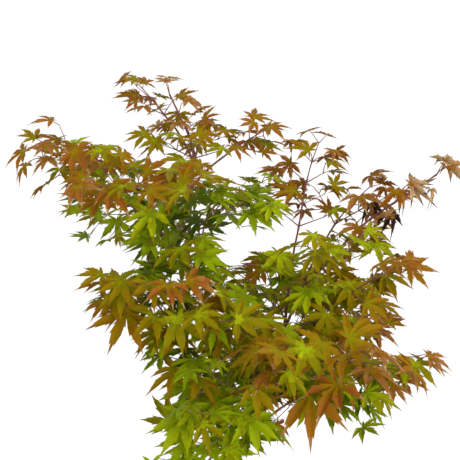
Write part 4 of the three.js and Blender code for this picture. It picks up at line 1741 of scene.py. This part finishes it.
@dataclass
class Wood:
    """Trunk, stems and boughs with their bark's relief; sizes in millimetres.

    A furrow of the bark is its height as a share of the radius, its number round the limb, and how slowly it
    wanders; a phase turns the furrows of each limb another way.
    """

    waist_radius: float = 10.0
    fork_half_width: float = 15.0
    fork_half_depth: float = 6.8
    fork_spreading: float = 3.0
    root_flare: float = 11.0
    root_flare_fade: float = 11.0
    root_ribs: int = 5
    root_rib_share: float = 0.4
    trunk_sides: int = 72
    trunk_rows: int = 44
    trunk_sunk: float = 3.0
    trunk_dome: float = 12.0
    trunk_dome_least: float = 0.0004
    trunk_phase: float = 0.6
    stem_sides: int = 20
    stem_rings: int = 150
    stem_sunk: float = 26.0
    stem_gather: float = 0.45
    stem_swell: float = 0.3
    stem_swell_fade: float = 16.0
    stem_joint: float = 0.55
    stem_phase: float = 1.7
    bough_sides: int = 14
    bough_rings: int = 36
    bough_joint: float = 0.35
    bough_joint_share: float = 0.6
    bough_phase: float = 1.3
    collar: float = 0.55
    collar_fade: float = 5.0
    joint_spacing: float = 62.0
    joint_width: float = 3.0
    furrows: tuple[Triple, ...] = ((0.05, 5, 23), (0.035, 9, -31), (0.03, 2, 11))
    snag_limb: str = "left_high"
    snag_way: Triple = (-17.0, 0.0, 35.0)
    snag_radius: float = 1.5
    snag_rings: int = 12
    old_bark: BarkFinish = BarkFinish("bark_old", (62, 46, 36), (112, 88, 68), (120, 116, 96))
    young_bark: BarkFinish = BarkFinish("bark_young", (84, 46, 36), (134, 82, 62), (124, 100, 76))
    dead_bark: BarkFinish = BarkFinish("bark_dead", (24, 18, 16), (44, 36, 32), (70, 62, 56))

    def relief(self, along: Array, angle: Array, phase: float) -> Array:
        """The bark's relief in shares of the radius: a sum of height x cos(number x angle + along / wander).

        Args:
            along: Distances along the limb.
            angle: Angles round it.
            phase: Turn of the pattern, different for each limb.

        Returns:
            Shares of the radius, rings by angles.
        """
        turn = angle[None] + phase
        return sum(height * np.cos(number * turn + along[:, None] / wander)
                   for height, number, wander in self.furrows)

    def joint_rings(self, along: Array, spacing: float, height: float) -> Array:
        """Low swellings at even spaces on a limb: height x exp(-(d/width)^2), d the distance to a joint."""
        distance = (along + spacing / 2) % spacing - spacing / 2
        return height * np.exp(-((distance / self.joint_width) ** 2))

    def barked(self, path: Array, along: Array, radius: Array, swelling: Array, sides: int,
               phase: float) -> Surface:
        """A limb's radius with the bark's relief, and what its swellings add, carried along its path."""
        rough = radius[:, None] * (1 + self.relief(along, angles_round(sides), phase))
        return tube(path, rough + swelling[:, None], sides)

    def trunk(self) -> Surface:
        """The short trunk: rings whose half width and depth part towards the fork, with root ribs at the foot
        that fade as exp(-h / fade), and a domed top between the stems.

        Returns:
            The closed surface.
        """
        rise = np.linspace(0, 1, self.trunk_rows)[:, None]
        height = rise * (FORK_HEIGHT + self.trunk_sunk) - self.trunk_sunk
        share = np.clip(height / FORK_HEIGHT, 0, 1) ** self.fork_spreading
        angle = angles_round(self.trunk_sides)
        ribs = 1 - self.root_rib_share * (1 - np.cos(self.root_ribs * angle))
        flare = self.root_flare * np.exp(-np.maximum(height, 0) / self.root_flare_fade) * ribs
        bark = 1 + self.relief(height[:, 0], angle, self.trunk_phase)
        waist = np.sqrt(np.clip((FORK_HEIGHT - height) / self.trunk_dome, self.trunk_dome_least, 1))
        half_width = (self.waist_radius + (self.fork_half_width - self.waist_radius) * share) * waist
        half_depth = (self.waist_radius + (self.fork_half_depth - self.waist_radius) * share) * waist
        x = (half_width * bark + flare) * np.cos(angle)
        y = (half_depth * bark + flare) * np.sin(angle)
        return Surface.ringed(np.stack([x, y, np.broadcast_to(COMPOST_LEVEL + height, x.shape)], -1))

    def stem(self, stem: Stem, phase: float) -> Surface:
        """A stem from inside the trunk to its tip, thick at the fork, with furrows and joint rings.

        Args:
            stem: The stem.
            phase: Turn of its bark's pattern.

        Returns:
            The closed surface.
        """
        share = np.linspace(-self.stem_sunk / stem.length, 1, self.stem_rings)
        along = share * stem.length
        path = stem.at(share)
        path[:, 0] *= np.where(share < 0, 1 + along / self.stem_sunk * self.stem_gather, 1)
        swell = 1 + self.stem_swell * np.exp(-np.maximum(along, 0) / self.stem_swell_fade)
        radius = stem.radius(np.clip(share, 0, 1)) * swell
        swelling = self.joint_rings(along, self.joint_spacing, self.stem_joint)
        return self.barked(path, along, radius, swelling, self.stem_sides, phase)

    def bough(self, limb: Limb, phase: float) -> Surface:
        """A bough from its stem's middle line to its tip, with a collar where it leaves the stem.

        Args:
            limb: The limb.
            phase: Turn of its bark's pattern.

        Returns:
            The closed surface.
        """
        path = limb.bough_path(self.bough_rings)
        along = path_lengths(path)
        radius = limb.bough_radius + (BOUGH_TIP_RADIUS - limb.bough_radius) * (along / along[-1])
        radius *= 1 + self.collar * np.exp(-along / self.collar_fade)
        swelling = self.joint_rings(along, self.joint_spacing * self.bough_joint_share, self.bough_joint)
        return self.barked(path, along, radius, swelling, self.bough_sides, phase)

    def snag(self, limb: Limb) -> Surface:
        """The dead stub that stands up from a bough's tip, cut off square.

        Args:
            limb: The limb whose bough bears it.

        Returns:
            The closed surface.
        """
        share = np.linspace(0, 1, self.snag_rings)
        path = limb.bough_path(self.bough_rings)[-1] + share[:, None] * np.array(self.snag_way)
        radius = np.full(self.snag_rings, self.snag_radius)
        return self.barked(path, path_lengths(path), radius, np.zeros_like(radius), self.bough_sides, 0.0)

    def build(self, limbs: list[Limb]) -> None:
        """Makes the trunk, the stems and the boughs and dresses them.

        Args:
            limbs: All limbs; only those with a bough are made here.
        """
        old, young, dead = (bark.material() for bark in (self.old_bark, self.young_bark, self.dead_bark))
        add_piece("trunk_bark", self.trunk(), [old], ["trunk"])
        stems = [self.stem(stem, self.stem_phase * place) for place, stem in enumerate(STEMS)]
        stems += [self.snag(limb).in_finish(1) for limb in limbs if limb.name == self.snag_limb]
        names = [stem.name for stem in STEMS]
        add_piece("stem_bark", Surface.joined(stems), [old, dead], names)
        bearing = [limb for limb in limbs if limb.kind is LimbKind.BOUGH]
        boughs = [self.bough(limb, self.bough_phase * place) for place, limb in enumerate(bearing)]
        names = [limb.bough for limb in bearing]
        add_piece("bough_bark", Surface.joined(boughs), [young], names)


@dataclass
class Crown:
    """All sprays of twigs and leaves, grown by one rule and kept out of each other's space."""

    limbs: list[Limb]
    rule: GrowthRule = GrowthRule()
    pattern: LeafPattern = field(default_factory=LeafPattern)
    shape: BladeShape = BladeShape()
    turning: Turning = Turning()
    fold_sharp: float = 16.0

    # The room that leaves look for: cells, samples of wood and blades, and openings seen from the eye
    cell: float = 3.0
    reach_over: float = 18.0
    rim_over_compost: float = 20.0
    clear_of_pot: float = 12.0
    stem_samples: int = 400
    ring_step: int = 45
    bough_samples: int = 200
    twig_samples: int = 24
    sample_along: tuple[float, float, int] = (0.12, 0.97, 22)
    sample_across: tuple[float, float, int] = (-0.8, 0.8, 5)
    sample_droop: float = 0.25
    clash_allowed: float = 0.03
    fine_room: float = 1.5
    blade_area: float = 0.35
    sky_share: float = 0.07
    eye: Triple = (48.0, -1588.0, 992.0)
    skies: tuple[Sky, ...] = (
        Sky(330, 605, 42, 20), Sky(262, 736, 22, 21), Sky(50, 755, 30, 22), Sky(61, 773, 22, 22),
        Sky(-135, 748, 42, 30), Sky(-290, 965, 40, 24), Sky(135, 500, 24, 18),
        Sky(60, 792, 30, 10), Sky(345, 690, 20, 40), Sky(48, 890, 24, 20), Sky(368, 515, 40, 29),
        Sky(-152, 607, 26, 19), Sky(-173, 952, 54, 11), Sky(339, 774, 45, 19), Sky(-86, 450, 19, 29),
        Sky(115, 776, 36, 12), Sky(-118, 440, 26, 20), Sky(-106, 920, 4, 11),
    )

    # How a leaf is posed: its size, its lean and turn, and the mean and spread of each try's moves
    heart_height: float = 400.0
    front_depth: float = 60.0
    low_blade_scale: float = 1.11
    high_blade_loss: float = 0.22
    shrunk_from: float = 0.75
    shrunk_scale: float = 0.7
    leader_scale: float = 0.88
    front_scale: float = 1.05
    face_out: Range = (-0.2, 0.9)
    spin: float = 38.0
    tries: int = 14
    first_try: float = 0.35
    later_tries: float = 0.65
    nod: Range = (-6.0, 34.0)
    swing: Range = (0.0, 40.0)
    lift: Range = (0.0, 16.0)

    # Twigs and leaf stalks
    twig_sides: int = 7
    twig_steps: int = 4
    joint_swell: float = 1.3
    red_above: float = 520.0
    stalk_radii: tuple[float, ...] = (0.95, 0.7, 0.6, 0.62)
    stalk_sides: int = 5
    stalk_back: float = 0.3
    stalk_rise: float = 0.06
    stalk_turning: float = 0.25
    red_shoots: TwigFinish = TwigFinish("twig_red", (112, 50, 40))
    brown_twigs: TwigFinish = TwigFinish("twig_brown", (92, 60, 40))
    pink_stalks: TwigFinish = TwigFinish("stalk_pink", (136, 78, 54))
    green_stalks: TwigFinish = TwigFinish("stalk_green", (124, 108, 36))

    def __post_init__(self) -> None:
        """Grows every spray."""
        self.sprays = [self.rule.spray(limb) for limb in self.limbs]

    def sample_points(self, leaf: Leaf) -> Array:
        """Points all over a leaf's blade, close enough to meet every cell that it crosses.

        A sample is a share of a lobe's length and of its half width. The blade falls with distance squared.

        Args:
            leaf: The leaf.

        Returns:
            Rows of points.
        """
        samples = np.linspace(*self.sample_along), np.linspace(*self.sample_across)
        along, across = np.meshgrid(*samples, indexing="ij")
        taper = np.minimum(along / self.pattern.widest, (1 - along) / (1 - self.pattern.widest))
        places = []
        for lobe in self.pattern.lobes:
            angle = math.radians(lobe.angle)
            ahead, aside = along * lobe.length, across * taper * lobe.width
            forward = ahead * math.cos(angle) - aside * math.sin(angle)
            sideways = ahead * math.sin(angle) + aside * math.cos(angle)
            places.append(np.stack([forward, sideways, -self.sample_droop * ahead**2], -1).reshape(-1, 3))
        return leaf.base + leaf.size * np.concatenate(places) @ np.array([leaf.out, leaf.wide, leaf.normal])

    def take_wood(self, space: Space) -> None:
        """Takes the space of the stems, the boughs and the twigs.

        Args:
            space: The crown's cells.
        """
        share = np.linspace(0, 1, self.stem_samples)
        ring = np.stack([heading(turn, 0) for turn in range(0, 360, self.ring_step)])
        for stem in STEMS:
            space.take((stem.at(share)[:, None] + stem.radius(share)[:, None, None] * ring).reshape(-1, 3))
        for spray in self.sprays:
            if spray.limb.kind is LimbKind.BOUGH:
                space.take(spray.limb.bough_path(self.bough_samples))
            for twig in spray.twigs:
                space.take(smooth_path(twig.joints, self.twig_samples))

    def hides_sky(self, points: Array, area: float) -> bool:
        """Whether a leaf lies in front of or behind one of the openings, on the lines from the viewer's eye.

        Args:
            points: The leaf's points.
            area: Its blade's area.

        Returns:
            True where an opening is covered by more than the share allowed.
        """
        eye = np.array(self.eye)
        nearer = eye[1] / (eye[1] - points[:, 1:2])
        seen = (eye + (points - eye) * nearer)[:, [0, 2]]
        return any(sky.hidden(seen, area / len(points)) > self.sky_share for sky in self.skies)

    def blade_scale(self, leaf: Leaf) -> float:
        """How much longer a leaf gets than it grew: more low down and in front, less on leaders and when dry.

        Args:
            leaf: The leaf.

        Returns:
            The scale.
        """
        scale = self.low_blade_scale - self.high_blade_loss * height_share(leaf.base[2])
        if self.turning.dryness(leaf) > self.shrunk_from:
            scale = self.shrunk_scale
        if leaf.limb.kind is LimbKind.LEADER:
            scale *= self.leader_scale
        if leaf.base[1] < -self.front_depth:
            scale *= self.front_scale
        return scale * leaf.limb.look.scale

    def placed(self, leaf: Leaf, area: float, space: Space, chance: Chance) -> Leaf | None:
        """A leaf nodded, swung and lifted, more at each try, until it is clear of wood, leaves and openings.

        Args:
            leaf: The leaf.
            area: Its blade's area.
            space: The crown's cells; the leaf takes its own.
            chance: Source of the tries.

        Returns:
            The leaf in its place, or none if no try is clear.
        """
        for attempt in range(self.tries):
            amount = self.first_try + self.later_tries * attempt / self.tries
            moves = [chance.normal(*move) * amount for move in (self.nod, self.swing, self.lift)]
            trial = leaf.tilted(*moves)
            points = self.sample_points(trial)
            room = trial.base + (points - trial.base) * self.fine_room if leaf.fine else points
            if space.clash(room) <= self.clash_allowed and not self.hides_sky(points, area):
                space.take(points)
                return trial
        return None

    def settle(self, chance: Chance) -> list[Leaf]:
        """Gives leaves their space from the outside of the crown inwards, the finer ones last.

        Args:
            chance: Source of their poses.

        Returns:
            The leaves that found space.
        """
        low, high = (np.array(corner) / MM for corner in CAD_BOX)
        low[2] = COMPOST_LEVEL + self.rim_over_compost + self.clear_of_pot
        space = Space(low - LEVEL * self.reach_over, high + self.reach_over, self.cell)
        self.take_wood(space)
        heart = UP * (COMPOST_LEVEL + self.heart_height)
        leaves = [leaf for spray in self.sprays for leaf in spray.leaves]
        leaves.sort(key=lambda leaf: (leaf.fine, -np.linalg.norm(leaf.base - heart)))
        settled = []
        for leaf in leaves:
            side = np.array([0.0, math.copysign(1.0, leaf.base[1] - self.front_depth), 0.0])
            lean, spin = chance.uniform(*self.face_out), chance.normal(0, self.spin)
            posed = leaf.posed(side, lean, spin, self.blade_scale(leaf))
            settled.append(self.placed(posed, self.blade_area * leaf.size**2, space, chance))
        found = [leaf for leaf in settled if leaf is not None]
        log.info("leaves: %d grown, %d found space", len(leaves), len(found))
        return found

    def blades(self, leaves: list[Leaf], chance: Chance) -> Surface:
        """The blades of leaves, each part of a blade in the tint of its ripeness.

        Args:
            leaves: The leaves.
            chance: Source of their differences.

        Returns:
            The surface with UV corners, and finish numbers in the order of RIPENING, then the dried one.
        """
        dry = np.array([self.turning.dryness(leaf) for leaf in leaves])
        ripe = self.turning.drawn_ripeness(leaves, chance)
        points = self.shape.points(self.pattern, leaves, ripe, dry, chance)
        tints = self.turning.tints(leaves, ripe, dry, self.pattern.zones, chance)
        count, size = points.shape[:2]
        starts = range(0, count * size, size)
        faces = [[index + start for index in face] for start in starts for face in self.pattern.faces]
        corners = np.tile(np.array(self.pattern.corners), (count, 1))
        return Surface(points.reshape(-1, 3), faces, tints.ravel(), corners)

    def stalks(self, leaves: list[Leaf], chance: Chance) -> Surface:
        """Leaf stalks that leave the twig, bend and run into the blade, as arches.

        Args:
            leaves: The leaves.
            chance: Deals out the two stalk colours.

        Returns:
            The surface with finish numbers.
        """
        radii = np.array(self.stalk_radii)[:, None]
        surfaces = []
        for leaf in leaves:
            length = np.linalg.norm(leaf.base - leaf.joint)
            bend = leaf.base - leaf.out * self.stalk_back * length + UP * self.stalk_rise * length
            path = arch(leaf.joint, bend, leaf.base, len(radii))
            green = chance.uniform() > self.stalk_turning + self.turning.ripeness(leaf)
            surfaces.append(tube(path, radii, self.stalk_sides).in_finish(int(green)))
        return Surface.joined(surfaces)

    def wooden_twigs(self) -> Surface:
        """Twigs as tubes through their joints, swollen a little at each joint.

        Returns:
            The surface; leaders and high sprays are red, and the rest are brown.
        """
        surfaces = []
        for spray in self.sprays:
            limb = spray.limb
            is_high = limb.kind is LimbKind.BOUGH and limb.height + limb.reach > self.red_above
            is_red = is_high or limb.kind is LimbKind.LEADER
            for twig in spray.twigs:
                path = smooth_path(twig.joints, self.twig_steps)
                share = np.linspace(0, 1, len(path))
                radius = twig.root_radius + (twig.tip_radius - twig.root_radius) * share
                radius[self.twig_steps::self.twig_steps] *= self.joint_swell
                surfaces.append(tube(path, radius[:, None], self.twig_sides).in_finish(int(not is_red)))
        return Surface.joined(surfaces)

    def build(self, chance: Chance) -> None:
        """Settles the leaves and makes the two kinds of blades, the stalks and the twigs.

        Args:
            chance: Source of the leaves' differences.
        """
        leaves = self.settle(chance)
        tints = [finish.material() for finish in [*RIPENING, DRIED]]
        for inner, name, slot in ((False, "bronze_leaf_blades", Slot.BRONZE_LEAVES),
                                  (True, "green_leaf_blades", Slot.GREEN_LEAVES)):
            kind = [leaf for leaf in leaves if (leaf.limb.kind is LimbKind.INNER) == inner]
            replaced = [limb.foliage for limb in self.limbs if (limb.kind is LimbKind.INNER) == inner]
            add_piece(name, self.blades(kind, chance), tints, replaced, self.fold_sharp)
        finishes = [self.pink_stalks.material(), self.green_stalks.material()]
        add_piece("leaf_stalks", self.stalks(leaves, chance), finishes, [])
        finishes = [self.red_shoots.material(), self.brown_twigs.material()]
        add_piece("twig_wood", self.wooden_twigs(), finishes, [])


@dataclass
class Studio:
    """Plain pale floor, soft white light and the camera at the photograph's viewing angle; metres."""

    floor_side: float = 9.0
    target: Triple = (0.048, 0.0, 0.797)
    distance: float = 1.6
    elevation: float = 7.0
    lens: float = 78.26
    sensor: float = 36.0
    world_light: float = 1.06
    world_colour: Light = (1.0, 1.0, 1.0, 1.0)
    key_place: Triple = (1.7, -2.6, 1.3)
    key_power: float = 52.0
    key_size: float = 1.8
    floor: FloorFinish = FloorFinish("studio_floor", (252, 252, 252))

    def build(self) -> None:
        """Makes the floor, the light and the camera."""
        scene = bpy.context.scene
        scene.view_settings.view_transform = "Standard"
        half = self.floor_side / 2 / MM
        corners = np.array([[-half, -half, 0.0], [half, -half, 0.0], [half, half, 0.0], [-half, half, 0.0]])
        floor = add_object("floor", Surface(corners, [[0, 1, 2, 3]]), [self.floor.material()])
        world = bpy.data.worlds.new("studio")
        world.use_nodes = True
        inputs = world.node_tree.nodes["Background"].inputs
        inputs["Color"].default_value = self.world_colour
        inputs["Strength"].default_value = self.world_light
        scene.world = world
        self.add_key()
        self.add_camera()

    def add_key(self) -> None:
        """Adds the large soft key light, up on the viewer's right, aimed at the crown."""
        light = bpy.data.lights.new("key", "AREA")
        light.energy = self.key_power
        light.size = self.key_size
        key = bpy.data.objects.new("key", light)
        key.location = self.key_place
        aim = Vector(self.target) - Vector(self.key_place)
        key.rotation_euler = aim.to_track_quat("-Z", "Y").to_euler()
        bpy.context.scene.collection.objects.link(key)

    def add_camera(self) -> None:
        """Adds the camera, at its distance and elevation from the middle of the picture."""
        data = bpy.data.cameras.new("camera")
        data.lens = self.lens
        data.sensor_width = self.sensor
        camera = bpy.data.objects.new("camera", data)
        lift = math.radians(self.elevation)
        away = Vector((0.0, -math.cos(lift), math.sin(lift))) * self.distance
        camera.location = Vector(self.target) + away
        camera.rotation_euler = (-away).to_track_quat("-Z", "Y").to_euler()
        bpy.context.scene.collection.objects.link(camera)
        bpy.context.scene.camera = camera


def main() -> None:
    """Builds the studio and the plant's sub-assemblies in order."""
    logging.basicConfig(level=logging.INFO, format="%(name)s: %(message)s")
    chance = np.random.default_rng(LOOKS_SEED)
    Studio().build()
    _, pot_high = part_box("pot")
    pot = Pot(height=pot_high[2] / MM, rim_radius=pot_high[0] / MM)
    pot.build()
    Compost(pot).build(chance)
    Wood().build(LIMBS)
    Crown(LIMBS).build(chance)


if __name__ == "__main__":
    main()
